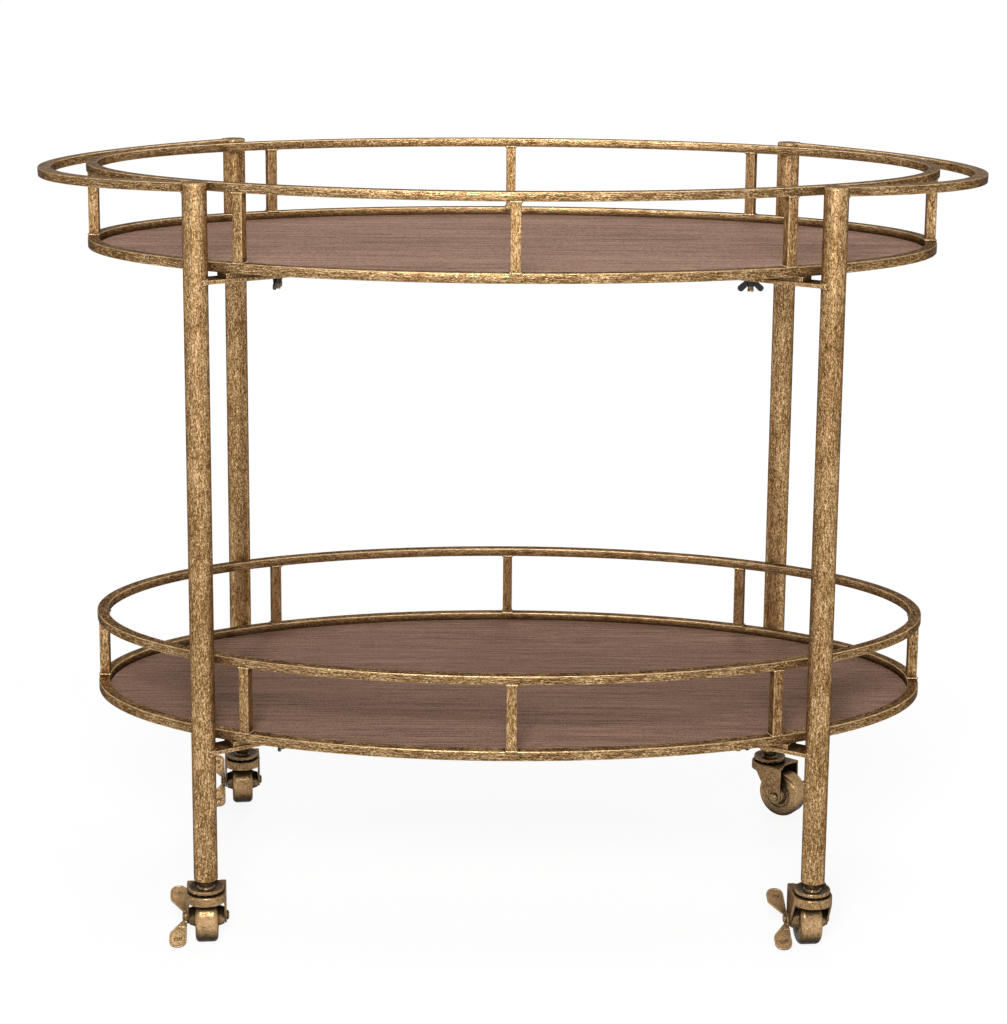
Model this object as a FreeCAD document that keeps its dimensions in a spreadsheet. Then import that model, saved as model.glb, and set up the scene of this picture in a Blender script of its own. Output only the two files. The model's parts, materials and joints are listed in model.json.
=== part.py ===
import FreeCAD, Part
import math
import os
import re
import Sketcher
from FreeCAD import Vector

# Oval two-tier bar cart on four braked swivel casters.
# Frame: origin on the floor under the middle of the cart, +X along its length,
# -Y towards the front, +Z up. Millimetres and degrees.

# Driving dimensions: alias, value, meaning.
SIZES = [
    ("leg_diameter", 25.4, "outside diameter of a leg tube"),
    ("leg_wall", 1.5, "wall of a leg tube"),
    ("leg_top", 823.5, "height of the leg tops above the floor"),
    ("leg_x", 323.0, "distance of a leg's axis from the middle, along the cart"),
    ("leg_gap", 9.2, "clear gap between a tray's oval and a leg"),
    ("cap_thickness", 1.6, "plate that closes a leg's top"),
    ("cap_spigot", 8.0, "depth of the cap's spigot in the tube"),
    ("insert_length", 24.0, "threaded insert in a leg's foot"),
    ("fit_gap", 0.05, "clearance of pieces that are welded or pushed together"),
    ("tray_length", 923.0, "outside length of a tray's oval"),
    ("tray_width", 486.0, "outside width of a tray's oval"),
    ("bar_width", 12.0, "width of the ring and rail bars, seen from above"),
    ("ring_height", 10.5, "height of the base ring's bar"),
    ("rail_height", 9.5, "height of the gallery rail's bar"),
    ("bar_round", 1.0, "rounded edges of the bars"),
    ("gallery_height", 92.0, "from the underside of the ring to the top of the rail"),
    ("rail_drop", 1.8, "from the leg tops down to the upper rail's top"),
    ("lower_tray", 229.0, "height of the lower ring's underside"),
    ("panel_thickness", 2.0, "shelf panel"),
    ("panel_gap", 0.3, "clearance round the shelf panel"),
    ("baluster_size", 11.0, "side of a square gallery post"),
    ("baluster_x", 279.0, "distance of the four turned posts from the middle"),
    ("lug_width", 22.0, "width of a tray lug"),
    ("lug_thickness", 5.5, "thickness of a tray lug, the gap from ring to brace"),
    ("stud_inset", 60.0, "from the ring's bar in to the stud, along the brace"),
    ("stud_margin", 22.0, "length of the lug past the stud"),
    ("stud_diameter", 6.0, "stud under a lug"),
    ("stud_tail", 12.5, "length of stud below the brace"),
    ("hole_gap", 0.5, "radial clearance of a stud in its brace"),
    ("brace_width", 25.0, "width of the flat brace bars"),
    ("brace_thickness", 4.0, "thickness of the flat brace bars"),
    ("wing_hub", 11.0, "diameter of a wing nut's hub"),
    ("wing_hub_height", 7.0, "height of a wing nut's hub"),
    ("wing_reach", 17.0, "length of a wing from the nut's axis"),
    ("wing_root", 5.0, "width of a wing at the nut's axis"),
    ("wing_width", 7.0, "width of a wing near its end"),
    ("wing_round", 3.2, "rounded corners of a wing's end"),
    ("wing_thickness", 2.4, "thickness of a wing"),
    ("wing_splay", 42.0, "slope of the wings away from the brace"),
    ("handle_gap", 38.5, "finger gap between the upper rail's end and a handle"),
    ("handle_width", 14.0, "width of the handle bar, seen from above"),
    ("handle_height", 9.5, "height of the handle bar"),
    ("handle_drop", 6.5, "fall of a handle from the legs to its middle"),
    ("wheel_diameter", 55.0, "wheel over its tread"),
    ("wheel_width", 24.0, "wheel over its rims"),
    ("wheel_shoulder", 5.0, "rounding between tread and rim"),
    ("rim_radius", 16.5, "inner radius of the rim's face"),
    ("web_recess", 1.6, "depth of the web behind the rim's face"),
    ("hub_boss", 6.7, "length of a hub boss outside the rim's face"),
    ("hub_radius", 9.0, "radius of a hub boss at its end"),
    ("hub_flare", 3.0, "widening of a hub boss at the web"),
    ("wheel_gap", 7.6, "clearance over the wheel"),
    ("side_gap", 0.3, "side clearance of turning pieces"),
    ("running_gap", 0.05, "radial clearance on a pin"),
    ("fork_wall", 2.0, "sheet thickness of a fork"),
    ("trail", 20.0, "from the swivel axis back to the axle"),
    ("cheek_tip", 8.0, "radius of a fork cheek round the axle"),
    ("cheek_lead", 6.0, "start of a cheek's sloping edge, ahead of the swivel axis"),
    ("cheek_round", 3.0, "inner corner between skirt and cheek"),
    ("skirt_depth", 9.5, "depth of the fork's front skirt"),
    ("crown_flat", 1.5, "half width of the flat at the crown's front"),
    ("crown_round", 1.5, "rounded upper edge of the crown"),
    ("crown_scoop", 4.0, "depth of the hollow in the crown's open edge"),
    ("scoop_radius", 30.0, "radius of that hollow"),
    ("axle_diameter", 6.0, "axle pin"),
    ("axle_head", 2.2, "thickness of an axle head"),
    ("axle_head_radius", 5.0, "radius of an axle head"),
    ("ball_diameter", 3.2, "bearing ball"),
    ("ball_gap", 0.1, "play of a ball in its race"),
    ("ball_count", 16, "balls in a race"),
    ("cup_inset", 2.0, "upper cup's rim inside the crown's edge"),
    ("cup_thickness", 1.6, "upper cup's plate"),
    ("cup_rim", 1.0, "width of the upper cup's turned-down rim"),
    ("cup_rim_lip", 0.6, "depth of the upper cup's turned-down rim"),
    ("cup_rim_rise", 1.2, "rise of the cup's edge above its dished middle"),
    ("neck_diameter", 16.0, "stem's neck below the leg"),
    ("neck_height", 9.4, "from the cup's plate up to the leg's foot"),
    ("neck_collar", 1.2, "thickness of the collar at the neck's root"),
    ("stem_diameter", 10.0, "threaded stem in the leg insert"),
    ("stem_length", 18.0, "length of stem in the leg insert"),
    ("kingpin_diameter", 8.0, "pin that holds the fork to the cup"),
    ("kingpin_head", 2.0, "overhang of the kingpin's riveted head"),
    ("kingpin_head_thickness", 1.8, "thickness of the kingpin's riveted head"),
    ("lever_plate", 2.0, "sheet thickness of a brake lever"),
    ("lever_hub_rim", 3.0, "lever's hub outside the axle head"),
    ("brake_tilt", 32.0, "slope of a released brake lever"),
    ("brake_tip_gap", 7.2, "height of a lever's lower tip above the floor"),
    ("petal_width", 18.5, "width of a lever's petal"),
    ("petal_neck", 4.2, "width of a petal where it leaves the hub"),
    ("petal_shoulder", 17.0, "length of a petal's widest part"),
    ("petal_round", 8.0, "rounded corners of a petal"),
    ("petal_rim", 1.5, "raised rim round a petal's face"),
    ("petal_dish", 0.6, "depth of a petal's face below its rim"),
    ("front_left_heading", 95.0, "direction in which the front left caster trails"),
    ("front_right_heading", 95.0, "direction in which the front right caster trails"),
    ("back_left_heading", 97.0, "direction in which the back left caster trails"),
    ("back_right_heading", -38.0, "direction in which the back right caster trails"),
]

# Sizes that follow from the driving ones, as expressions.
LEG_RADIUS = "(leg_diameter/2)"
UPPER_TRAY = "(leg_top - rail_drop - gallery_height)"
OVAL_A = "(tray_length/2 - bar_width/2)"
OVAL_B = "(tray_width/2 - bar_width/2)"
LEG_OVAL_A = f"(tray_length/2 + leg_gap + {LEG_RADIUS})"
LEG_OVAL_B = f"(tray_width/2 + leg_gap + {LEG_RADIUS})"
LEG_Y = f"({LEG_OVAL_B}*sqrt(1 - (leg_x/{LEG_OVAL_A})^2))"
BRACE_HALF = f"sqrt(leg_x^2 + {LEG_Y}^2)"
BRACE_TURN = f"atan({LEG_Y}/leg_x)"
RING_REACH = f"(1/sqrt((cos({BRACE_TURN})/{OVAL_A})^2 + (sin({BRACE_TURN})/{OVAL_B})^2))"
STUD_REACH = f"({RING_REACH} - stud_inset)"
BALUSTER_Y = f"({OVAL_B}*sqrt(1 - (baluster_x/{OVAL_A})^2))"
BALUSTER_TURN = f"atan({OVAL_B}^2*baluster_x/({OVAL_A}^2*{BALUSTER_Y}))"
HANDLE_A = "(tray_length/2 + handle_gap + handle_width/2)"
HANDLE_B = f"({LEG_Y}/sqrt(1 - (leg_x/{HANDLE_A})^2))"
HANDLE_TILT = f"atan(handle_drop/({HANDLE_A} - leg_x))"
WHEEL_RADIUS = "(wheel_diameter/2)"
AXLE_RADIUS = "(axle_diameter/2)"
FORK_HALF = "(wheel_width/2 + hub_boss + side_gap + fork_wall)"
FORK_TAIL = "(trail + cheek_tip)"
PLATE_BOTTOM = "(wheel_diameter + wheel_gap)"
PLATE_TOP = f"({PLATE_BOTTOM} + fork_wall)"
SKIRT = f"({PLATE_TOP} - skirt_depth)"
CHEEK_FALL = f"({SKIRT} - {WHEEL_RADIUS})"
CHEEK_RUN = "(trail + cheek_lead)"
CHEEK_SLOPE = (f"(atan({CHEEK_FALL}/{CHEEK_RUN})"
               f" + asin(cheek_tip/sqrt({CHEEK_FALL}^2 + {CHEEK_RUN}^2)))")
CHEEK_CORNER = f"({SKIRT} - ({CHEEK_RUN} + cheek_tip)*tan({CHEEK_SLOPE}))"
CUP_BOTTOM = f"({PLATE_TOP} + 2*ball_gap + ball_diameter)"
CUP_TOP = f"({CUP_BOTTOM} + cup_thickness)"
CUP_RADIUS = f"({FORK_HALF} - cup_inset)"
BALL_CIRCLE = f"({CUP_RADIUS} - cup_rim - ball_diameter/2 - 2*ball_gap)"
BALL_HEIGHT = f"({PLATE_TOP} + ball_gap + ball_diameter/2)"
LEG_FOOT = f"({CUP_TOP} + neck_height)"
LEVER_IN = f"({FORK_HALF} + side_gap)"
LEVER_OUT = f"({LEVER_IN} + lever_plate)"
LEVER_REACH = f"(({WHEEL_RADIUS} - brake_tip_gap)/sin(brake_tilt))"
LEVER_HUB = "(axle_head_radius + lever_hub_rim)"

CORNERS = {
    "front_left": (-1, -1),
    "front_right": (1, -1),
    "back_left": (-1, 1),
    "back_right": (1, 1),
}
# Turn of each wing nut about its stud, in degrees.
WING_TURNS = {"front_left": 78, "front_right": 4, "back_left": 30, "back_right": 118}
CUTTER_MARGIN = 5.0

doc = FreeCAD.newDocument("bar_cart")
sheet = doc.addObject("Spreadsheet::Sheet", "Sizes")
for row, (alias, number, meaning) in enumerate(SIZES, start=1):
    sheet.set(f"A{row}", meaning)
    sheet.set(f"B{row}", str(number))
    sheet.setAlias(f"B{row}", alias)
doc.recompute()

ALIAS = re.compile(r"\b(" + "|".join(alias for alias, _, _ in SIZES) + r")\b")
nodes = []


def full(expression):
    """The expression with every alias written as a cell of the sheet."""
    return ALIAS.sub(r"Sizes.\1", expression)


def value(expression):
    """The expression's present value as a number."""
    result = sheet.evalExpression(full(expression))
    return float(getattr(result, "Value", result))


def bind(item, **expressions):
    """Bind properties of an object to expressions."""
    for name, expression in expressions.items():
        item.setExpression(name, full(expression))
    return item


def place(item, *steps):
    """Bind an object's placement to moves (x, y, z, axis, angle), outermost first."""
    parts = []
    for x, y, z, axis, angle in steps:
        turn = f"rotation(vector({axis}); {angle})"
        parts.append(f"placement(vector({x}; {y}; {z}); {turn})")
    item.setExpression("Placement", full(" * ".join(parts)))
    return item


Y_AXIS, Z_AXIS = "0; 1; 0", "0; 0; 1"


def add(kind, name, **expressions):
    """A new object of the document with some properties bound."""
    return bind(doc.addObject(kind, name), **expressions)


def node(name, item):
    """Name an object as one of the cart's pieces."""
    item.Label = name
    nodes.append(item)
    return item


def cut(name, base, tool):
    result = add("Part::Cut", name)
    result.Base, result.Tool = base, tool
    return result


def fuse(name, *items):
    result = add("Part::MultiFuse", name)
    result.Shapes = list(items)
    return result


def group(name, items):
    result = add("Part::Compound", name)
    result.Links = items
    return result


def oval(name, semi_x, semi_y, height):
    """An upright elliptical column standing on z = 0."""
    edge = add("Part::Ellipse", name + "_edge", MajorRadius=semi_x, MinorRadius=semi_y)
    column = add("Part::Extrusion", name, LengthFwd=height)
    column.Base = edge
    column.DirMode = "Custom"
    column.Dir = Vector(0, 0, 1)
    column.Solid = True
    return column


def oval_bar(name, semi_x, semi_y, width, height):
    """A flat bar bent to an ellipse, given at the middle of the bar."""
    outer = oval(name + "_outer", f"{semi_x} + {width}/2", f"{semi_y} + {width}/2", height)
    inner = oval(name + "_inner", f"{semi_x} - {width}/2", f"{semi_y} - {width}/2", height)
    return cut(name + "_bar", outer, inner)


def rounded(name, base, edges):
    """The base with the edges that the test picks rounded."""
    doc.recompute()
    result = add("Part::Fillet", name)
    result.Base = base
    radius = value("bar_round")
    picked = [i for i, e in enumerate(base.Shape.Edges, start=1) if edges(e)]
    result.Edges = [(i, radius, radius) for i in picked]
    return result


def body(name):
    return doc.addObject("PartDesign::Body", name)


def sketch(owner, plane, **offset):
    """A sketch on one of a body's origin planes, moved by x, y, z in the plane's own axes."""
    support = next(f for f in owner.Origin.OriginFeatures if f.Role == plane)
    result = owner.newObject("Sketcher::SketchObject", owner.Name + "_sketch")
    result.AttachmentSupport = [(support, "")]
    result.MapMode = "FlatFace"
    for axis, expression in offset.items():
        result.setExpression(f"AttachmentOffset.Base.{axis}", full(expression))
    return result


def dimension(flat, kind, *place_and_value):
    """A dimension of a sketch, bound to an expression."""
    *where, expression = place_and_value
    index = flat.addConstraint(Sketcher.Constraint(kind, *where, value(expression)))
    flat.setExpression(f"Constraints[{index}]", full(expression))


def pin_point(flat, geometry, position, x, y):
    dimension(flat, "DistanceX", -1, 1, geometry, position, x)
    dimension(flat, "DistanceY", -1, 1, geometry, position, y)


def circle(flat, x, y, radius):
    where = Vector(value(x), value(y), 0)
    index = flat.addGeometry(Part.Circle(where, Vector(0, 0, 1), value(radius)))
    pin_point(flat, index, 3, x, y)
    dimension(flat, "Radius", index, radius)


def outline(flat, corners):
    """A closed outline through corners (x, y) or (x, y, radius), all expressions."""
    count = len(corners)
    spots = [Vector(value(c[0]), value(c[1]), 0) for c in corners]
    entries, exits, arcs = list(spots), list(spots), {}
    for i, corner in enumerate(corners):
        if len(corner) < 3:
            continue
        radius = value(corner[2])
        back = (spots[i - 1] - spots[i]).normalize()
        ahead = (spots[(i + 1) % count] - spots[i]).normalize()
        half = back.getAngle(ahead)/2
        run = radius/math.tan(half)
        entries[i] = spots[i] + back*run
        exits[i] = spots[i] + ahead*run
        centre = spots[i] + (back + ahead).normalize()*(radius/math.sin(half))
        left_turn = back.cross(ahead).z < 0
        arcs[i] = (centre, radius, left_turn)
    lines = [flat.addGeometry(Part.LineSegment(exits[i], entries[(i + 1) % count])) for i in range(count)]
    for i, corner in enumerate(corners):
        before, after = lines[i - 1], lines[i]
        if i not in arcs:
            flat.addConstraint(Sketcher.Constraint("Coincident", before, 2, after, 1))
            pin_point(flat, after, 1, corner[0], corner[1])
            continue
        centre, radius, left_turn = arcs[i]
        ends = [entries[i], exits[i]] if left_turn else [exits[i], entries[i]]
        angles = [math.atan2(p.y - centre.y, p.x - centre.x) for p in ends]
        ring = Part.Circle(centre, Vector(0, 0, 1), radius)
        arc = flat.addGeometry(Part.ArcOfCircle(ring, *angles))
        first, last = (1, 2) if left_turn else (2, 1)
        flat.addConstraint(Sketcher.Constraint("Tangent", before, 2, arc, first))
        flat.addConstraint(Sketcher.Constraint("Tangent", arc, last, after, 1))
        dimension(flat, "Radius", arc, corner[2])
        tip = flat.addGeometry(Part.Point(spots[i]), True)
        pin_point(flat, tip, 1, corner[0], corner[1])
        flat.addConstraint(Sketcher.Constraint("PointOnObject", tip, 1, before))
        flat.addConstraint(Sketcher.Constraint("PointOnObject", tip, 1, after))
    return flat


def pad(owner, flat, length, middle=False):
    result = owner.newObject("PartDesign::Pad", owner.Name + "_pad")
    result.Profile = flat
    if middle:
        result.SideType = "Symmetric"
    return bind(result, Length=length)


def pocket(owner, flat, length, upwards=False, middle=False):
    """A pocket; it must take something away."""
    doc.recompute()
    before = owner.Shape.Volume
    result = owner.newObject("PartDesign::Pocket", owner.Name + "_pocket")
    result.Profile = flat
    result.Reversed = upwards
    if middle:
        result.SideType = "Symmetric"
    bind(result, Length=length)
    doc.recompute()
    if owner.Shape.Volume >= before:
        raise RuntimeError(f"{result.Name} cuts nothing")
    return result


def revolve(owner, flat, axis):
    result = owner.newObject("PartDesign::Revolution", owner.Name + "_turned")
    result.Profile = flat
    result.ReferenceAxis = (flat, [axis])
    result.Angle = 360
    return result


def leg_spot(corner):
    """Place of a leg's axis, as expressions."""
    side_x, side_y = CORNERS[corner]
    return f"{side_x}*leg_x", f"{side_y}*{LEG_Y}"


def upright(name, corner, radius, bottom, height):
    """A cylinder on a leg's axis."""
    cylinder = add("Part::Cylinder", name, Radius=radius, Height=height)
    return place(cylinder, (*leg_spot(corner), bottom, Z_AXIS, "0"))


def diagonal(corner):
    """Direction from the middle to a leg, in degrees."""
    side_x, side_y = CORNERS[corner]
    turn = BRACE_TURN if side_x == side_y else f"(-{BRACE_TURN})"
    return turn if side_x > 0 else f"(180 deg + {turn})"


def make_legs():
    for corner in CORNERS:
        leg = body(f"leg_{corner}")
        ends = sketch(leg, "XY_Plane", z=LEG_FOOT)
        circle(ends, "0", "0", LEG_RADIUS)
        circle(ends, "0", "0", f"{LEG_RADIUS} - leg_wall")
        pad(leg, ends, f"leg_top - cap_thickness - {LEG_FOOT}")
        place(leg, (*leg_spot(corner), "0", Z_AXIS, "0"))
        node(f"leg_{corner}", leg)


def make_leg_caps():
    caps = []
    for corner in CORNERS:
        plate = upright("cap_plate", corner, LEG_RADIUS, "leg_top - cap_thickness", "cap_thickness")
        spigot = upright("cap_spigot", corner, f"{LEG_RADIUS} - leg_wall - fit_gap",
                         "leg_top - cap_thickness - cap_spigot", "cap_spigot")
        caps.append(rounded("cap", fuse("cap_blank", plate, spigot),
                            lambda e: e.BoundBox.ZMin > value("leg_top - cap_thickness/2")
                            and e.BoundBox.ZLength < 1e-6))
    node("leg_caps", group("leg_caps", caps))


def make_leg_inserts():
    inserts = []
    for corner in CORNERS:
        plug = upright("insert_plug", corner, f"{LEG_RADIUS} - leg_wall - fit_gap",
                       LEG_FOOT, "insert_length")
        bore = upright("insert_bore", corner, "stem_diameter/2 + fit_gap", LEG_FOOT, "insert_length")
        inserts.append(cut("insert", plug, bore))
    node("leg_inserts", group("leg_inserts", inserts))


def make_leg_clearance():
    """The four legs' outlines, to shape the ends of what is welded to them."""
    columns = [upright("leg_column", c, f"{LEG_RADIUS} + fit_gap", "0", "2*leg_top") for c in CORNERS]
    return group("leg_clearance", columns)


def make_handles(leg_clearance):
    for name, side in (("handle_left", -1), ("handle_right", 1)):
        bar = oval_bar(name, HANDLE_A, HANDLE_B, "handle_width", "handle_height")
        reach = f"({HANDLE_A} + handle_width)"
        half = add("Part::Box", name + "_half", Length=f"{reach} - leg_x",
                   Width=f"2*{reach}", Height="2*handle_height")
        start = "leg_x" if side > 0 else f"-{reach}"
        place(half, (start, f"-{reach}", "-handle_height/2", Z_AXIS, "0"))
        bend = add("Part::Common", name + "_bend")
        bend.Base = bar
        bend.Tool = half
        soft = rounded(name + "_soft", bend, lambda e: abs(e.BoundBox.ZLength) < 1e-6
                       and e.BoundBox.XLength > value("handle_width"))
        place(soft, (f"{side}*leg_x", "0", "leg_top", Y_AXIS, f"{side}*{HANDLE_TILT}"),
              (f"{-side}*leg_x", "0", "-handle_height", Z_AXIS, "0"))
        node(name, cut(name, soft, leg_clearance))


def brace_box(name, corner, length, level):
    """A flat bar on a diagonal, centred on the cart's axis."""
    bar = add("Part::Box", name, Length=length, Width="brace_width", Height="brace_thickness")
    return place(bar, ("0", "0", level, Z_AXIS, diagonal(corner)),
                 (f"-{length}/2", "-brace_width/2", "0", Z_AXIS, "0"))


def on_diagonal(item, corner, reach, level, turn="0"):
    """Stand an item on a diagonal at a distance from the middle."""
    return place(item, ("0", "0", level, Z_AXIS, diagonal(corner)),
                 (reach, "0", "0", Z_AXIS, turn))


def make_brace(tier, brace_bottom, leg_clearance):
    holes = []
    for corner in CORNERS:
        hole = add("Part::Cylinder", tier + "_stud_hole", Radius="stud_diameter/2 + hole_gap",
                   Height="3*brace_thickness")
        holes.append(on_diagonal(hole, corner, STUD_REACH, f"{brace_bottom} - brace_thickness"))
    waste = group(tier + "_brace_waste", holes + [leg_clearance])
    span = f"(2*{BRACE_HALF})"
    through = brace_box(tier + "_through_bar", "back_right", span, brace_bottom)
    node(f"{tier}_brace_bar", cut(tier + "_brace_bar", through, waste))
    across = brace_box(tier + "_across_bar", "back_left", span, brace_bottom)
    gap_bar = brace_box(tier + "_through_gap", "back_right", span, brace_bottom)
    bind(gap_bar, Width="brace_width + 2*fit_gap")
    place(gap_bar, ("0", "0", brace_bottom, Z_AXIS, diagonal("back_right")),
          (f"-{span}/2", "-brace_width/2 - fit_gap", "0", Z_AXIS, "0"))
    arms = cut(tier + "_arm_pair", across, gap_bar)
    node(f"{tier}_brace_arms", cut(tier + "_brace_arms", arms, waste))


def make_tray(tier, level):
    ring = oval_bar(tier + "_ring", OVAL_A, OVAL_B, "bar_width", "ring_height")
    ring = rounded(tier + "_base_ring", ring, lambda e: abs(e.BoundBox.ZLength) < 1e-6)
    node(f"{tier}_base_ring", place(ring, ("0", "0", level, Z_AXIS, "0")))

    panel = oval(tier + "_shelf_panel", f"{OVAL_A} - bar_width/2 - panel_gap",
                 f"{OVAL_B} - bar_width/2 - panel_gap", "panel_thickness")
    node(f"{tier}_shelf_panel", place(panel, ("0", "0", level, Z_AXIS, "0")))

    rail = oval_bar(tier + "_rail", OVAL_A, OVAL_B, "bar_width", "rail_height")
    rail = rounded(tier + "_gallery_rail", rail, lambda e: abs(e.BoundBox.ZLength) < 1e-6)
    rail_level = f"{level} + gallery_height - rail_height"
    node(f"{tier}_gallery_rail", place(rail, ("0", "0", rail_level, Z_AXIS, "0")))

    spots = [(OVAL_A, "0", "90"), (f"-{OVAL_A}", "0", "90"), ("0", OVAL_B, "0"), ("0", f"-{OVAL_B}", "0")]
    for side_x, side_y in CORNERS.values():
        spots.append((f"{side_x}*baluster_x", f"{side_y}*{BALUSTER_Y}",
                      f"{-side_x*side_y}*{BALUSTER_TURN}"))
    posts = []
    for x, y, turn in spots:
        post = add("Part::Box", tier + "_post", Length="baluster_size", Width="baluster_size",
                   Height="gallery_height - ring_height - rail_height")
        place(post, (x, y, f"{level} + ring_height", Z_AXIS, turn),
              ("-baluster_size/2", "-baluster_size/2", "0", Z_AXIS, "0"))
        posts.append(rounded(tier + "_soft_post", post, lambda e: e.BoundBox.XLength < 1e-6
                             and e.BoundBox.YLength < 1e-6))
    node(f"{tier}_balusters", group(tier + "_balusters", posts))

    lugs = []
    for corner in CORNERS:
        plate = add("Part::Box", tier + "_lug_plate", Width="lug_width", Height="lug_thickness",
                    Length=f"{RING_REACH} + bar_width/4 - {STUD_REACH} + stud_margin")
        place(plate, ("0", "0", f"{level} - lug_thickness", Z_AXIS, diagonal(corner)),
              (f"{STUD_REACH} - stud_margin", "-lug_width/2", "0", Z_AXIS, "0"))
        stud_length = "lug_thickness + brace_thickness + stud_tail"
        stud = add("Part::Cylinder", tier + "_stud", Radius="stud_diameter/2", Height=stud_length)
        on_diagonal(stud, corner, STUD_REACH, f"{level} - ({stud_length})")
        lugs.append(fuse(tier + "_lug", plate, stud))
    node(f"{tier}_tray_lugs", group(tier + "_tray_lugs", lugs))


def nut_bore(corner, brace_bottom):
    bore = add("Part::Cylinder", "nut_bore", Radius="stud_diameter/2 + fit_gap", Height="3*stud_tail")
    return on_diagonal(bore, corner, STUD_REACH, f"{brace_bottom} - 2*stud_tail")


def make_wing_nuts(tier, brace_bottom):
    nuts = []
    for corner, turn in WING_TURNS.items():
        spot = (STUD_REACH, "0", "0", Z_AXIS, f"{turn} deg - {diagonal(corner)}")
        base = ("0", "0", brace_bottom, Z_AXIS, diagonal(corner))
        hub = add("Part::Cone", "wing_hub", Radius1="wing_hub/2 - wing_thickness/2",
                  Radius2="wing_hub/2", Height="wing_hub_height")
        place(hub, base, spot, ("0", "0", "-wing_hub_height", Z_AXIS, "0"))
        pieces = [hub]
        for side in ("0", "180"):
            wing = body("wing")
            ear = outline(sketch(wing, "XZ_Plane"), [
                ("0", "-wing_root/2"), ("wing_reach", "-wing_width/2", "wing_round"),
                ("wing_reach", "wing_width/2", "wing_round"), ("0", "wing_root/2")])
            pad(wing, ear, "wing_thickness", middle=True)
            place(wing, base, spot, ("0", "0", "0", Z_AXIS, side), ("0", "0", "0", Y_AXIS, "wing_splay"))
            pieces.append(wing)
        solid = cut("wing_nut_solid", fuse("wing_nut_blank", *pieces), nut_bore(corner, brace_bottom))
        lid = add("Part::Box", "nut_seat", Length="4*wing_reach", Width="4*wing_reach",
                  Height="wing_reach")
        place(lid, base, spot, ("-2*wing_reach", "-2*wing_reach", "0", Z_AXIS, "0"))
        nuts.append(cut("wing_nut", solid, lid))
    node(f"{tier}_wing_nuts", group(tier + "_wing_nuts", nuts))


def caster_frame(corner):
    """The caster's own frame: origin on the floor under the leg, X along the trail."""
    return (*leg_spot(corner), "0", Z_AXIS, f"{corner}_heading")


def make_caster_stem(corner):
    """Threaded stem, neck, dished upper cup and riveted kingpin in one turned piece."""
    stem = body(f"{corner}_caster_stem")
    kingpin, head_top = "kingpin_diameter/2", f"{PLATE_BOTTOM} - side_gap"
    head, head_bottom = f"{kingpin} + kingpin_head", f"{head_top} - kingpin_head_thickness"
    lip, rim_top = f"{CUP_BOTTOM} - cup_rim_lip", f"{CUP_TOP} + cup_rim_rise"
    neck, collar_top = "neck_diameter/2", f"{CUP_TOP} + neck_collar"
    collar, stem_top = f"{neck} + neck_collar", f"{LEG_FOOT} + stem_length"
    outline(sketch(stem, "XZ_Plane"), [
        ("0", head_bottom), (head, head_bottom), (head, head_top), (kingpin, head_top),
        (kingpin, CUP_BOTTOM), (f"{CUP_RADIUS} - cup_rim", CUP_BOTTOM),
        (f"{CUP_RADIUS} - cup_rim", lip), (CUP_RADIUS, lip),
        (CUP_RADIUS, rim_top, "cup_rim"), (f"{CUP_RADIUS} - 2*cup_rim", rim_top),
        (f"{collar} + 2*cup_rim", CUP_TOP), (collar, CUP_TOP), (collar, collar_top),
        (neck, collar_top), (neck, LEG_FOOT), ("stem_diameter/2", LEG_FOOT),
        ("stem_diameter/2", stem_top), ("0", stem_top),
    ])
    revolve(stem, stem.Group[-1], "V_Axis")
    node(f"{corner}_caster_stem", place(stem, caster_frame(corner)))


def make_balls(corner):
    count = int(value("ball_count"))
    balls = []
    for i in range(count):
        ball = add("Part::Sphere", "ball", Radius="ball_diameter/2")
        around = ("0", "0", BALL_HEIGHT, Z_AXIS, f"{i}*360/{count}")
        balls.append(place(ball, caster_frame(corner), around, (BALL_CIRCLE, "0", "0", Z_AXIS, "0")))
    node(f"{corner}_bearing_balls", group(f"{corner}_bearing_balls", balls))


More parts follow.
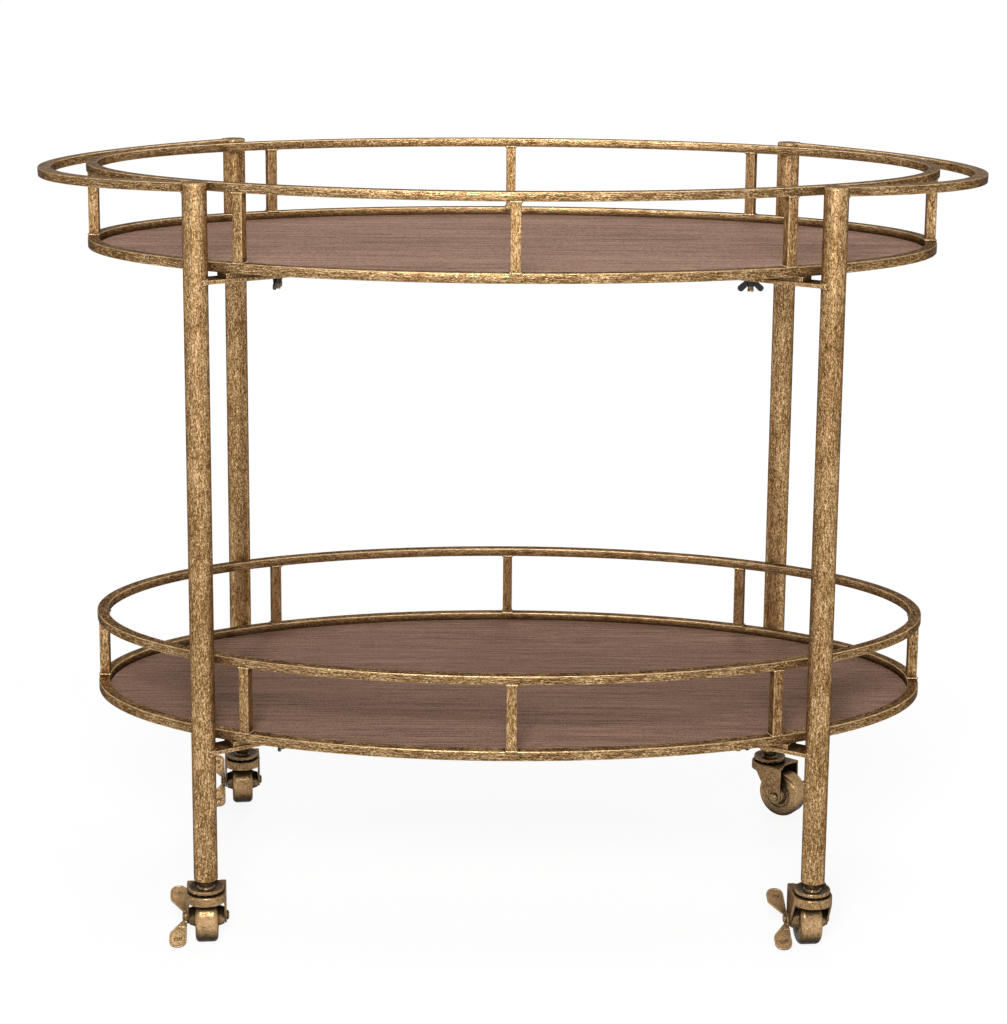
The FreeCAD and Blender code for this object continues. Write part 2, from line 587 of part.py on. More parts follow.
def make_fork(corner):
    """Pressed fork: a round-fronted crown with a skirt, and two cheeks down to the axle."""
    fork = body(f"{corner}_fork")
    low = f"({WHEEL_RADIUS} - cheek_tip)"
    nose = f"{FORK_HALF} - crown_flat"
    plan = outline(sketch(fork, "XY_Plane", z=low), [
        (f"-{FORK_HALF}", f"-{FORK_HALF}", nose), (FORK_TAIL, f"-{FORK_HALF}"),
        (FORK_TAIL, FORK_HALF), (f"-{FORK_HALF}", FORK_HALF, nose)])
    pad(fork, plan, f"{PLATE_TOP} - {low}")
    inner, beyond = f"({FORK_HALF} - fork_wall)", f"({FORK_TAIL} + {CUTTER_MARGIN})"
    hollow = outline(sketch(fork, "XY_Plane", z=low), [
        (f"-{inner}", f"-{inner}", f"{nose} - fork_wall"), (beyond, f"-{inner}"),
        (beyond, inner), (f"-{inner}", inner, f"{nose} - fork_wall")])
    pocket(fork, hollow, f"{PLATE_BOTTOM} - {low}", upwards=True)

    front, above = f"-{FORK_HALF} - {CUTTER_MARGIN}", f"{PLATE_TOP} + {CUTTER_MARGIN}"
    side = sketch(fork, "XZ_Plane")
    outline(side, [(f"{front} - {CUTTER_MARGIN}", f"{low} - {WHEEL_RADIUS}"),
                   (f"{beyond} + {CUTTER_MARGIN}", f"{low} - {WHEEL_RADIUS}"),
                   (f"{beyond} + {CUTTER_MARGIN}", f"{above} + {CUTTER_MARGIN}"),
                   (f"{front} - {CUTTER_MARGIN}", f"{above} + {CUTTER_MARGIN}")])
    outline(side, [(front, above), (front, SKIRT), ("-cheek_lead", SKIRT, "cheek_round"),
                   (FORK_TAIL, CHEEK_CORNER, "cheek_tip"), (FORK_TAIL, above)])
    pocket(fork, side, f"2*{FORK_HALF} + {CUTTER_MARGIN}", middle=True)

    axle_hole = sketch(fork, "XZ_Plane")
    circle(axle_hole, "trail", WHEEL_RADIUS, f"{AXLE_RADIUS} + fit_gap")
    pocket(fork, axle_hole, f"2*{FORK_HALF} + {CUTTER_MARGIN}", middle=True)
    scoop = sketch(fork, "XY_Plane", z=PLATE_BOTTOM)
    circle(scoop, f"{FORK_TAIL} + scoop_radius - crown_scoop", "0", "scoop_radius")
    pocket(fork, scoop, f"fork_wall + {CUTTER_MARGIN}", upwards=True)
    kingpin_hole = sketch(fork, "XY_Plane", z=PLATE_BOTTOM)
    circle(kingpin_hole, "0", "0", "kingpin_diameter/2 + running_gap")
    tip = pocket(fork, kingpin_hole, "fork_wall", upwards=True)

    top, rim = value(PLATE_TOP), value("kingpin_diameter")
    picked = [f"Edge{i}" for i, e in enumerate(fork.Shape.Edges, start=1)
              if abs(e.BoundBox.ZMin - top) < 1e-3 and abs(e.CenterOfMass.y) < value(FORK_HALF) + 1
              and e.CenterOfMass.x < value(f"{FORK_TAIL} - crown_scoop") - 1
              and math.hypot(e.CenterOfMass.x, e.CenterOfMass.y) > rim]
    crown = fork.newObject("PartDesign::Fillet", fork.Name + "_crown")
    crown.Base = (tip, picked)
    bind(crown, Radius="crown_round")
    node(f"{corner}_fork", place(fork, caster_frame(corner)))


def turned_on_axle(corner, name, profile):
    """A piece turned about the axle; the profile runs along the axle, then outwards."""
    piece = body(f"{corner}_{name}")
    flat = sketch(piece, "YZ_Plane", y=WHEEL_RADIUS, z="trail")
    outline(flat, profile)
    revolve(piece, flat, "H_Axis")
    return node(f"{corner}_{name}", place(piece, caster_frame(corner)))


def make_axle(corner):
    far, near = f"(-{FORK_HALF})", f"({LEVER_OUT} + side_gap)"
    soft = "axle_head/2"
    turned_on_axle(corner, "axle", [
        (f"{far} - axle_head", "0"), (f"{near} + axle_head", "0"),
        (f"{near} + axle_head", "axle_head_radius", soft), (near, "axle_head_radius"),
        (near, AXLE_RADIUS), (far, AXLE_RADIUS), (far, "axle_head_radius"),
        (f"{far} - axle_head", "axle_head_radius", soft)])


def make_wheel(corner):
    face, hub = "wheel_width/2", "(wheel_width/2 + hub_boss)"
    web, bore = "(wheel_width/2 - web_recess)", f"{AXLE_RADIUS} + running_gap"
    flare, bevel = "hub_radius + hub_flare", "rim_radius - web_recess"
    turned_on_axle(corner, "wheel", [
        (f"-{hub}", bore), (hub, bore), (hub, "hub_radius"), (web, flare), (web, bevel),
        (face, "rim_radius"), (face, WHEEL_RADIUS, "wheel_shoulder"),
        (f"-{face}", WHEEL_RADIUS, "wheel_shoulder"), (f"-{face}", "rim_radius"),
        (f"-{web}", bevel), (f"-{web}", flare), (f"-{hub}", "hub_radius")])


def petal(side, root, inner, neck, wide, tip, shoulder, soft):
    """Corners of a petal: from its root by the hub out to its tip, and back along its outer edge."""
    return [(f"{side}*({root})", inner), (f"{side}*({tip})", inner, soft), (f"{side}*({tip})", wide, soft),
            (f"{side}*({shoulder})", wide, soft), (f"{side}*({root})", neck)]


def make_brake_lever(corner):
    """Rocking lever with two petals; made level about the axle and then tilted."""
    lever = body(f"{corner}_brake_lever")
    hub = sketch(lever, "XZ_Plane", z=f"-{LEVER_OUT}")
    circle(hub, "0", "0", LEVER_HUB)
    circle(hub, "0", "0", f"{AXLE_RADIUS} + running_gap")
    pad(lever, hub, "lever_plate")
    root, wide = "axle_head_radius + 2*side_gap", f"{LEVER_IN} + petal_width"
    shoulder = f"{LEVER_REACH} - petal_shoulder"
    for side in (1, -1):
        blank = petal(side, root, LEVER_IN, f"{LEVER_IN} + petal_neck", wide, LEVER_REACH, shoulder,
                      "petal_round")
        pad(lever, outline(sketch(lever, "XY_Plane"), blank), "lever_plate", middle=True)
        face = petal(side, f"{root} + 2*petal_neck", f"{LEVER_IN} + petal_rim", f"{LEVER_IN} + 2*petal_neck",
                     f"{wide} - petal_rim", f"{LEVER_REACH} - petal_rim", shoulder,
                     "petal_round - petal_rim")
        dish = outline(sketch(lever, "XY_Plane", z="lever_plate/2 - petal_dish"), face)
        pocket(lever, dish, "lever_plate", upwards=True)
    place(lever, caster_frame(corner), ("trail", "0", WHEEL_RADIUS, Y_AXIS, "-brake_tilt"))
    node(f"{corner}_brake_lever", lever)


def make_cart():
    make_legs()
    make_leg_caps()
    make_leg_inserts()
    leg_clearance = make_leg_clearance()
    make_handles(leg_clearance)
    for tier, level in (("upper", UPPER_TRAY), ("lower", "lower_tray")):
        brace_bottom = f"({level} - lug_thickness - brace_thickness)"
        make_tray(tier, level)
        make_brace(tier, brace_bottom, leg_clearance)
        make_wing_nuts(tier, brace_bottom)
    for corner in CORNERS:
        make_caster_stem(corner)
        make_balls(corner)
        make_fork(corner)
        make_axle(corner)
        make_wheel(corner)
        make_brake_lever(corner)


def check():
    """Stop unless every object is sound and every piece a valid solid."""
    doc.recompute()
    for item in doc.Objects:
        if {"Invalid", "Error"} & set(item.State):
            raise RuntimeError(f"{item.Name} failed: {item.State}")
    for piece in nodes:
        if piece.Shape.isNull() or not piece.Shape.isValid() or not piece.Shape.Solids:
            raise RuntimeError(f"{piece.Label} is not a valid solid")


make_cart()
check()
os.makedirs("parts", exist_ok=True)
for piece in nodes:
    piece.Shape.exportStep(f"parts/{piece.Label}.step")
    box = piece.Shape.BoundBox
    print(piece.Label, len(piece.Shape.Solids), "solids", round(piece.Shape.Volume), "mm3",
          "z", round(box.ZMin, 1), round(box.ZMax, 1))
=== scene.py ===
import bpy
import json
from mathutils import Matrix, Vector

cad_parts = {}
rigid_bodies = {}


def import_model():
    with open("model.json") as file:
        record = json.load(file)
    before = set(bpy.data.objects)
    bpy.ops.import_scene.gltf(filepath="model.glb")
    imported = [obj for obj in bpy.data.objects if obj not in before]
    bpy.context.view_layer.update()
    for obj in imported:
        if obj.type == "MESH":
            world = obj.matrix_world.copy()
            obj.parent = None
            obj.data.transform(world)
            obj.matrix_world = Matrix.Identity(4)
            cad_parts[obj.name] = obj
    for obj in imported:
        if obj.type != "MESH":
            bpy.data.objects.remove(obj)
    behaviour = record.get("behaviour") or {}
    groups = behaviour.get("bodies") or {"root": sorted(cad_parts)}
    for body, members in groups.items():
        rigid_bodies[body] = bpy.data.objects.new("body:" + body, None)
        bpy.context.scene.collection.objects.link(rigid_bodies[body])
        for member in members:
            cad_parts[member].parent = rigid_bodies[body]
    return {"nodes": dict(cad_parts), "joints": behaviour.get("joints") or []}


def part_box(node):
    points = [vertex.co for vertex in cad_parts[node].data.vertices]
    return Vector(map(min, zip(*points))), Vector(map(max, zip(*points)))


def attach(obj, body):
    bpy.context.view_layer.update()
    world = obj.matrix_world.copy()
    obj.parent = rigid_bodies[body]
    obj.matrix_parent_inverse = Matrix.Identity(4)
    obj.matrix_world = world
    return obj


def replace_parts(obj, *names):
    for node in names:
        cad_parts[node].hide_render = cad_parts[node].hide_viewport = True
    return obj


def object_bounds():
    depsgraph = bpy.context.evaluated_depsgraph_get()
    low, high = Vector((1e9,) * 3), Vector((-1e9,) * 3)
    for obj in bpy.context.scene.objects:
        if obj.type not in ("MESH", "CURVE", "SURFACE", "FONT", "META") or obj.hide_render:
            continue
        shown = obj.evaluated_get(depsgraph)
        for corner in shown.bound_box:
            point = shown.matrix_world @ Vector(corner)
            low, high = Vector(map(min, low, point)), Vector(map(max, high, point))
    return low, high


bl_info = {
    "name": "Oval Bar Cart",
    "version": (1, 0, 0),
    "blender": (4, 5, 0),
    "location": "View3D > Sidebar > Bar Cart",
    "description": "Dresses the packed bar cart in its finishes and sets its stage",
    "category": "Object",
}

import json
import math
from typing import NamedTuple

import bmesh
import bpy
from mathutils import Matrix, Vector

for leftover in list(bpy.data.objects):
    bpy.data.objects.remove(leftover)
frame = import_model()
CAD_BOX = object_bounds()

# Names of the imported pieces
TIERS = ("upper", "lower")
CORNERS = ("front_left", "front_right", "back_left", "back_right")
FRAME_BODY = "frame"
UP = Vector((0, 0, 1))
MM = 0.001

JOINTS = {joint["name"]: joint for joint in frame["joints"]}
LEG_BOXES = {corner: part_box(f"leg_{corner}") for corner in CORNERS}

# Sockets of node groups
FLOAT, VECTOR, COLOUR = "NodeSocketFloat", "NodeSocketVector", "NodeSocketColor"
GEOMETRY, MATERIAL = "NodeSocketGeometry", "NodeSocketMaterial"

# What a bent bar carries: its own place for patterns, and how near a point is to an edge
BAR_ATTRIBUTE = "bar_place"
EDGE_ATTRIBUTE = "bar_edge"

# Angles in degrees below which faces are shaded as one
BAR_SMOOTH_ANGLE = 15
PEEN_SMOOTH_ANGLE = 35

# Points nearer than this are one point
SEAM = 1e-6
BAR_SEAM = 1e-5


def middle(box):
    return (box[0] + box[1])/2


def leg_radius(box):
    return (box[1].x - box[0].x)/2


def length_property(name, description, default):
    return bpy.props.FloatProperty(name=name, description=description, default=default, unit="LENGTH",
                                   precision=5)


def colour_property(name, description, default):
    return bpy.props.FloatVectorProperty(name=name, description=description, default=default,
                                         subtype="COLOR", size=3, min=0, max=1)


def angle_property(name, description, degrees):
    return bpy.props.FloatProperty(name=name, description=description, default=math.radians(degrees),
                                   subtype="ANGLE")


def power_property(name, description, default):
    return bpy.props.FloatProperty(name=name, description=description, default=default, subtype="POWER")


class CartSizes(bpy.types.PropertyGroup):
    """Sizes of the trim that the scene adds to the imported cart"""
    bar_width: length_property("Bar width", "Width of the ring and rail bars", 12*MM)
    bar_round: length_property("Bar rounding", "Rounded edges of the bars", 1.0*MM)
    handle_width: length_property("Handle width", "Width of the handle bars", 14*MM)
    handle_height: length_property("Handle height", "Height of the handle bars", 9.5*MM)
    handle_root: length_property("Handle root", "Length of handle hidden in its leg", 6*MM)
    bar_segments: bpy.props.IntProperty(name="Bar segments", description="Steps round a full oval",
                                        default=288, min=32)
    weld_radius: length_property("Weld bead", "Radius of a weld bead", 1.3*MM)
    weld_step: length_property("Weld step", "Distance between the lumps of a weld", 1.25*MM)
    post_size: length_property("Post size", "Side of a square gallery post", 11*MM)
    brace_width: length_property("Brace width", "Width of the flat brace bars", 25*MM)
    stud_radius: length_property("Stud radius", "Radius of the tray studs", 3*MM)
    stud_pitch: length_property("Stud pitch", "Pitch of the studs' thread", 1.0*MM)
    thread_depth: length_property("Thread depth", "Height of a thread above its stud", 0.35*MM)
    nut_height: length_property("Nut height", "Height of a wing nut's hub", 7*MM)
    peen_radius: length_property("Peen radius", "Radius of the ring peened on an axle head", 3.6*MM)
    peen_rise: length_property("Peen rise", "Height of the ring peened on an axle head", 0.5*MM)
    petal_dish: length_property("Petal dish", "Depth of a lever's face below its rim", 0.6*MM)
    letter_height: length_property("Letter height", "Height of the words on the levers", 5.2*MM)
    letter_rise: length_property("Letter rise", "Height of the letters above the lever's face", 0.45*MM)


class CartFinish(bpy.types.PropertyGroup):
    """Colours of the cart's finishes"""
    gold: colour_property("Gold", "Rubbed gold paint", (0.30, 0.158, 0.056))
    # Also the colour that the painted shade in the gold's hollows darkens to
    umber: colour_property("Umber", "Dark coat under the gold", (0.070, 0.031, 0.009))
    # Also the painted highlights on the bars' upper edges and the painted glints in the brightest flecks
    pale: colour_property("Pale gold", "Bright worn edges", (1.0, 0.70, 0.38))
    rose: colour_property("Rose", "Pink-brown cast in the gold", (0.40, 0.21, 0.12))
    olive: colour_property("Olive", "Green cast in the gold", (0.29, 0.21, 0.05))
    bronze: colour_property("Bronze", "Plated caster bronze", (0.38, 0.205, 0.082))
    # Painted light: a brighter copy of the caster bronze for the openly lit wheel treads and levers
    bronze_painted_lit: colour_property("Rubbed bronze", "Wheels and levers rubbed bright in use",
                                   (0.78, 0.47, 0.22))
    # Also the colour that the painted shade in the casters' hollows darkens to
    bronze_dark: colour_property("Dark bronze", "Caster bronze in its hollows", (0.014, 0.008, 0.004))
    bronze_edge: colour_property("Bronze edge", "Caster bronze rubbed bright", (0.86, 0.64, 0.36))
    shelf_light: colour_property("Shelf light", "Pale streaks of the shelf's grain", (0.54, 0.335, 0.245))
    shelf_dark: colour_property("Shelf dark", "Dark streaks of the shelf's grain", (0.15, 0.086, 0.058))
    black: colour_property("Black", "Blackened wing nuts", (0.012, 0.011, 0.011))
    steel: colour_property("Steel", "Bearing balls and inserts", (0.30, 0.275, 0.24))


class CartStage(bpy.types.PropertyGroup):
    """Camera and light"""
    camera_place: bpy.props.FloatVectorProperty(name="Camera", description="Place of the camera",
                                                default=(-0.033, -2.616, 1.139), subtype="TRANSLATION")
    camera_yaw: angle_property("Yaw", "Turn of the camera to the right", 0.52)
    camera_pitch: angle_property("Pitch", "Tilt of the camera downwards", 11.3)
    camera_roll: angle_property("Roll", "Roll of the camera", 0.46)
    lens: bpy.props.FloatProperty(name="Lens", description="Focal length in millimetres", default=85.2)
    shift: bpy.props.FloatProperty(name="Shift", description="Vertical shift of the lens", default=-0.16)
    sky: bpy.props.FloatProperty(name="Sky", description="Strength of the even white light", default=0.035)
    key: power_property("Key", "Power of the lamp at the front left", 50)
    fill: power_property("Fill", "Power of the lamp at the front right", 3)
    back: power_property("Back", "Power of the lamp behind the cart", 14)
    top: power_property("Top", "Power of the lamp overhead", 19)


def add(tree, kind, inputs=None, **options):
    """A new node with its options set and its inputs, by name or number, linked or filled."""
    made = tree.nodes.new(kind)
    for name, value in options.items():
        setattr(made, name, value)
    for key, value in (inputs or {}).items():
        if isinstance(value, bpy.types.NodeSocket):
            tree.links.new(value, made.inputs[key])
        else:
            made.inputs[key].default_value = value
    return made


def math_node(tree, operation, *values):
    return add(tree, "ShaderNodeMath", dict(enumerate(values)), operation=operation).outputs[0]


def vector_node(tree, operation, *values):
    return add(tree, "ShaderNodeVectorMath", dict(enumerate(values)), operation=operation).outputs[0]


def times(tree, first, second):
    return math_node(tree, "MULTIPLY", first, second)


def plus(tree, first, second):
    return math_node(tree, "ADD", first, second)


def layered(tree, layers):
    """The sum of layers, each a value and its share."""
    total = None
    for value, share in layers:
        part = times(tree, value, share)
        total = part if total is None else plus(tree, total, part)
    return total


def remap(tree, value, low, high, to_low=0.0, to_high=1.0):
    inputs = {"Value": value, "From Min": low, "From Max": high, "To Min": to_low, "To Max": to_high}
    return add(tree, "ShaderNodeMapRange", inputs).outputs["Result"]


def mix(tree, factor, first, second):
    return add(tree, "ShaderNodeMix", {0: factor, 6: first, 7: second}, data_type="RGBA").outputs[2]


def noise(tree, place, scale, detail=3.0, roughness=0.6, distortion=0.0):
    inputs = {"Vector": place, "Scale": scale, "Detail": detail, "Roughness": roughness,
              "Distortion": distortion}
    return add(tree, "ShaderNodeTexNoise", inputs).outputs["Fac"]


def new_group(name, kind, inputs, outputs):
    """A node group with named sockets (name, type, default); returns tree, inputs and output node."""
    tree = bpy.data.node_groups.new(name, kind)
    for label, socket, default in inputs:
        made = tree.interface.new_socket(label, in_out="INPUT", socket_type=socket)
        if default is not None:
            made.default_value = default
    for label, socket in outputs:
        tree.interface.new_socket(label, in_out="OUTPUT", socket_type=socket)
    return tree, add(tree, "NodeGroupInput").outputs, add(tree, "NodeGroupOutput")


def use_group(tree, name, inputs):
    return add(tree, "ShaderNodeGroup", inputs, node_tree=bpy.data.node_groups[name]).outputs


# Turn of the softened normal, as a cosine, where rubbing starts and where an edge is bare
EDGE_TURN = (0.998, 0.95)
# Levels of noise between which rubbing breaks up
EDGE_BREAKUP = (0.34, 0.60)
# Open space over a point where the painted shade in hollows starts and where it is darkest
HOLLOW_SHADE_SPACE = (0.95, 0.58)
PROBE_SAMPLES = 6


def make_edge_wear_and_shade_group():
    """Where edges are rubbed, where hollows take a painted shade, and the softened normal of the edges."""
    tree, given, out = new_group("edge_wear", "ShaderNodeTree", [
        ("Vector", VECTOR, None), ("Radius", FLOAT, 0.001),
        ("Hollow", FLOAT, 0.01), ("Breakup", FLOAT, 300.0),
    ], [("Wear", FLOAT), ("Dirt", FLOAT), ("Normal", VECTOR)])
    bevel = add(tree, "ShaderNodeBevel", {"Radius": given["Radius"]}, samples=PROBE_SAMPLES)
    soft = bevel.outputs["Normal"]
    sharp = add(tree, "ShaderNodeNewGeometry").outputs["Normal"]
    agree = add(tree, "ShaderNodeVectorMath", {0: soft, 1: sharp}, operation="DOT_PRODUCT")
    edge = remap(tree, agree.outputs["Value"], *EDGE_TURN)
    patchy = remap(tree, noise(tree, given["Vector"], given["Breakup"], detail=4.0), *EDGE_BREAKUP)
    # Painted shade: the occlusion probe darkens hollows, creases and the gaps between parts
    shade_probe = add(tree, "ShaderNodeAmbientOcclusion", {"Distance": given["Hollow"]}, samples=PROBE_SAMPLES)
    tree.links.new(times(tree, edge, patchy), out.inputs["Wear"])
    tree.links.new(remap(tree, shade_probe.outputs["AO"], *HOLLOW_SHADE_SPACE), out.inputs["Dirt"])
    tree.links.new(soft, out.inputs["Normal"])


# Layers of the rubbed paint: scale against the speckle, detail, roughness and share
PAINT_LAYERS = ((1.0, 4.0, 0.75, 0.76), (0.3, 4.0, 0.65, 0.10), (0.05, 3.0, 0.60, 0.14))
# Brush marks in the paint: their stretch, and their scale against the speckle
BRUSH_STRETCH = (1, 1, 0.3)
BRUSH_SCALE = 0.8
# Pink and olive casts: their shift from the layers, and their scale against the speckle
CAST_SHIFT = (3.1, 1.7, 5.3)
CAST_SCALE = 0.62
# Levels of the pattern from bare coat to full metal, from metal to bright metal (rubbed gold flecks that
# also stand in as painted glints), and of the two casts
RUBBED_LEVELS = (-0.1, 0.52)
GLINT_FLECK_LEVELS = (0.52, 1.15)
WARM_LEVELS = (0.50, 0.68)
COOL_LEVELS = (0.47, 0.32)
NOISE_MIDDLE = 0.5
# Share of the painted shade in hollows, towards the dark coat
PAINTED_SHADE_COVER = 0.9
ROUGHNESS_SPREAD = 0.12
WORN_POLISH = 0.10


def make_rubbed_metal_group():
    """Speckled metal paint: a dark coat, gold rubbed over it, pink and olive casts and worn edges, with
    painted glints in its brightest flecks and a painted shade in its hollows.
    """
    colours = ("Metal", "Under", "Worn", "Warm", "Cool")
    tree, given, out = new_group("rubbed_metal", "ShaderNodeTree", [
        ("Vector", VECTOR, None), ("Wear", FLOAT, 0.0),
        ("Dirt", FLOAT, 0.0), ("Speckle", FLOAT, 1000.0),
        ("Contrast", FLOAT, 1.0), ("Cast", FLOAT, 0.6),
        ("Streak", FLOAT, 0.3), ("Roughness", FLOAT, 0.45),
        *[(name, COLOUR, (0.5, 0.5, 0.5, 1)) for name in colours],
    ], [("Color", COLOUR), ("Roughness", FLOAT), ("Height", FLOAT)])
    place, speckle = given["Vector"], given["Speckle"]
    paint = layered(tree, [(noise(tree, place, times(tree, speckle, scale), detail, roughness), share)
                           for scale, detail, roughness, share in PAINT_LAYERS])
    brushed = noise(tree, vector_node(tree, "MULTIPLY", place, BRUSH_STRETCH),
                    times(tree, speckle, BRUSH_SCALE))
    away = times(tree, math_node(tree, "SUBTRACT", brushed, NOISE_MIDDLE), given["Streak"])
    away = plus(tree, away, math_node(tree, "SUBTRACT", paint, NOISE_MIDDLE))
    level = plus(tree, times(tree, away, given["Contrast"]), NOISE_MIDDLE)
    shifted = vector_node(tree, "ADD", place, CAST_SHIFT)
    cast = noise(tree, shifted, times(tree, speckle, CAST_SCALE), detail=2.0)
    warm = times(tree, remap(tree, cast, *WARM_LEVELS), given["Cast"])
    cool = times(tree, remap(tree, cast, *COOL_LEVELS), given["Cast"])
    metal = mix(tree, warm, given["Metal"], given["Warm"])
    metal = mix(tree, cool, metal, given["Cool"])
    colour = mix(tree, remap(tree, level, *RUBBED_LEVELS), given["Under"], metal)
    # The brightest flecks are partly painted glints
    colour = mix(tree, remap(tree, level, *GLINT_FLECK_LEVELS), colour, given["Worn"])
    # Painted shade: hollows darken towards the dark coat
    colour = mix(tree, times(tree, given["Dirt"], PAINTED_SHADE_COVER), colour, given["Under"])
    # For the bars, the wear also carries painted highlights on their upper edges
    colour = mix(tree, given["Wear"], colour, given["Worn"])
    rough = plus(tree, given["Roughness"], remap(tree, level, 0, 1, ROUGHNESS_SPREAD, -ROUGHNESS_SPREAD))
    rough = math_node(tree, "SUBTRACT", rough, times(tree, given["Wear"], WORN_POLISH))
    tree.links.new(colour, out.inputs["Color"])
    tree.links.new(rough, out.inputs["Roughness"])
    tree.links.new(level, out.inputs["Height"])


# Layers of the shelf's grain: marks to the metre along and across, detail, roughness, distortion and share
LONG_FIBRES = ((5, 420, 420), 4.0, 0.62, 0.25, 0.28)
SHORT_DASHES = ((28, 900, 900), 3.0, 0.60, 0.0, 0.18)
PORES = ((160, 1500, 1500), 2.0, 0.50, 0.0, 0.12)
FLECKS = ((520, 900, 900), 2.0, 0.70, 0.0, 0.34)
SLOW_TONES = ((2.5, 14, 14), 3.0, 0.55, 0.0, 0.08)
SHELF_GRAIN = (LONG_FIBRES, SHORT_DASHES, PORES, FLECKS, SLOW_TONES)
# Levels of the grain from dark to light, and the roughness at either end
GRAIN_LEVELS = (0.44, 0.56)
GRAIN_ROUGHNESS = (0.74, 0.62)


def make_shelf_grain_group():
    """Brushed wood grain along X: fibres, dashes, pores, flecks and slow changes of tone."""
    tree, given, out = new_group("shelf_grain", "ShaderNodeTree", [
        ("Vector", VECTOR, None), ("Light", COLOUR, (0.5, 0.4, 0.3, 1)),
        ("Dark", COLOUR, (0.2, 0.1, 0.1, 1)),
    ], [("Color", COLOUR), ("Roughness", FLOAT), ("Height", FLOAT)])
    layers = []
    for marks, detail, roughness, distortion, share in SHELF_GRAIN:
        place = vector_node(tree, "MULTIPLY", given["Vector"], marks)
        layers.append((noise(tree, place, 1.0, detail, roughness, distortion), share))
    level = remap(tree, layered(tree, layers), *GRAIN_LEVELS)
    tree.links.new(mix(tree, level, given["Dark"], given["Light"]), out.inputs["Color"])
    tree.links.new(remap(tree, level, 0, 1, *GRAIN_ROUGHNESS), out.inputs["Roughness"])
    tree.links.new(level, out.inputs["Height"])


def new_material(name):
    """An empty material with its Principled shader; returns material, tree and shader."""
    material = bpy.data.materials.new(name)
    material.use_nodes = True
    tree = material.node_tree
    tree.nodes.clear()
    shader = add(tree, "ShaderNodeBsdfPrincipled")
    add(tree, "ShaderNodeOutputMaterial", {"Surface": shader.outputs[0]})
    return material, tree, shader


def finish_shader(tree, shader, result, normal, metallic, bump, height):
    """Link a finish group's outputs to the shader, with its height as bump over the given normal."""
    tree.links.new(result["Color"], shader.inputs["Base Color"])
    tree.links.new(result["Roughness"], shader.inputs["Roughness"])
    shader.inputs["Metallic"].default_value = metallic
    inputs = {"Strength": bump, "Distance": height, "Height": result["Height"]}
    if normal is not None:
        inputs["Normal"] = normal
    tree.links.new(add(tree, "ShaderNodeBump", inputs).outputs[0], shader.inputs["Normal"])


# Stretch of a finish's pattern: none, or drawn out along the piece
EVEN = (1, 1, 1)
BRUSHED = (1, 1, 0.45)


def object_place(tree, stretch=EVEN):
    place = add(tree, "ShaderNodeTexCoord").outputs["Object"]
    return vector_node(tree, "MULTIPLY", place, stretch)


def bar_place(tree, stretch):
    place = add(tree, "ShaderNodeAttribute", attribute_name=BAR_ATTRIBUTE).outputs["Vector"]
    return vector_node(tree, "MULTIPLY", place, stretch)


# Shares of a bar's half width and half height where its edges start to be rubbed and where they are bare;
# the upper edges are a painted highlight, the lower edges rubbed wear
UPPER_HIGHLIGHT_EDGES = (0.84, 0.95)
LOWER_EDGES = (0.86, 0.97)
# Gaps in the rubbing: noise to the metre, its levels, and how much rubbing stays at either
BAR_GAP_SCALE = 150.0
BAR_GAPS = (0.36, 0.60, 0.35, 1.0)


def bar_wear_and_highlight(tree, place):
    """Rubbed edges of a bent bar, from the bar's own edge attribute: painted highlights on the upper
    edges, rubbed wear on the lower edges.
    """
    nearness = add(tree, "ShaderNodeAttribute", attribute_name=EDGE_ATTRIBUTE).outputs["Vector"]
    across, rise, _ = add(tree, "ShaderNodeSeparateXYZ", {0: nearness}).outputs
    upper = remap(tree, math_node(tree, "MINIMUM", across, rise), *UPPER_HIGHLIGHT_EDGES)
    lower = remap(tree, math_node(tree, "MINIMUM", across, times(tree, rise, -1)), *LOWER_EDGES)
    patchy = remap(tree, noise(tree, place, BAR_GAP_SCALE), *BAR_GAPS)
    return times(tree, math_node(tree, "MAXIMUM", upper, lower), patchy)


class Rub(NamedTuple):
    """How a rubbed metal finish is worked: speckles to the metre, shares, lengths and the rim tint, which
    paints shade on the silhouettes.
    """
    speckle: float
    contrast: float
    cast: float
    metallic: float
    bump: float
    edge_radius: float
    hollow: float = 10*MM
    roughness: float = 0.45
    streak: float = 0.3
    gloss: float = 0.5
    rim: tuple = (1, 1, 1)


# Painted shade at grazing angles: a dark specular tint darkens reflections towards the silhouettes
PAINTED_DARK_RIM = (0.06, 0.035, 0.015)
GOLD_RUB = Rub(speckle=1000, contrast=5.0, cast=0.7, metallic=0.75, bump=0.3, edge_radius=1.4*MM,
               roughness=0.36, streak=0.35, gloss=0.06, rim=PAINTED_DARK_RIM)
# The bronze's painted shade reaches far, to darken its hubs and the insides of its forks
BRONZE_RUB = Rub(speckle=900, contrast=5.0, cast=0.5, metallic=0.45, bump=0.12, edge_radius=0.8*MM,
                 hollow=30*MM, roughness=0.28, gloss=0.1, rim=PAINTED_DARK_RIM)
BLACK_RUB = Rub(speckle=700, contrast=0.8, cast=0.2, metallic=0.4, bump=0.15, edge_radius=0.4*MM)
STEEL_RUB = Rub(speckle=800, contrast=0.8, cast=0.3, metallic=0.9, bump=0.05, edge_radius=0.3*MM)
PAINT_RELIEF = 0.2*MM
# Scale of the gaps in edge wear against the speckle
EDGE_GAP_SCALE = 0.45
# Painted shade: the gold's colours on the bars are darkened because the bars catch more light than the
# uprights
BAR_PAINTED_SHADE = 0.68

SHELF_BUMP = 0.12
SHELF_RELIEF = 0.1*MM
SHELF_GLOSS = 0.06


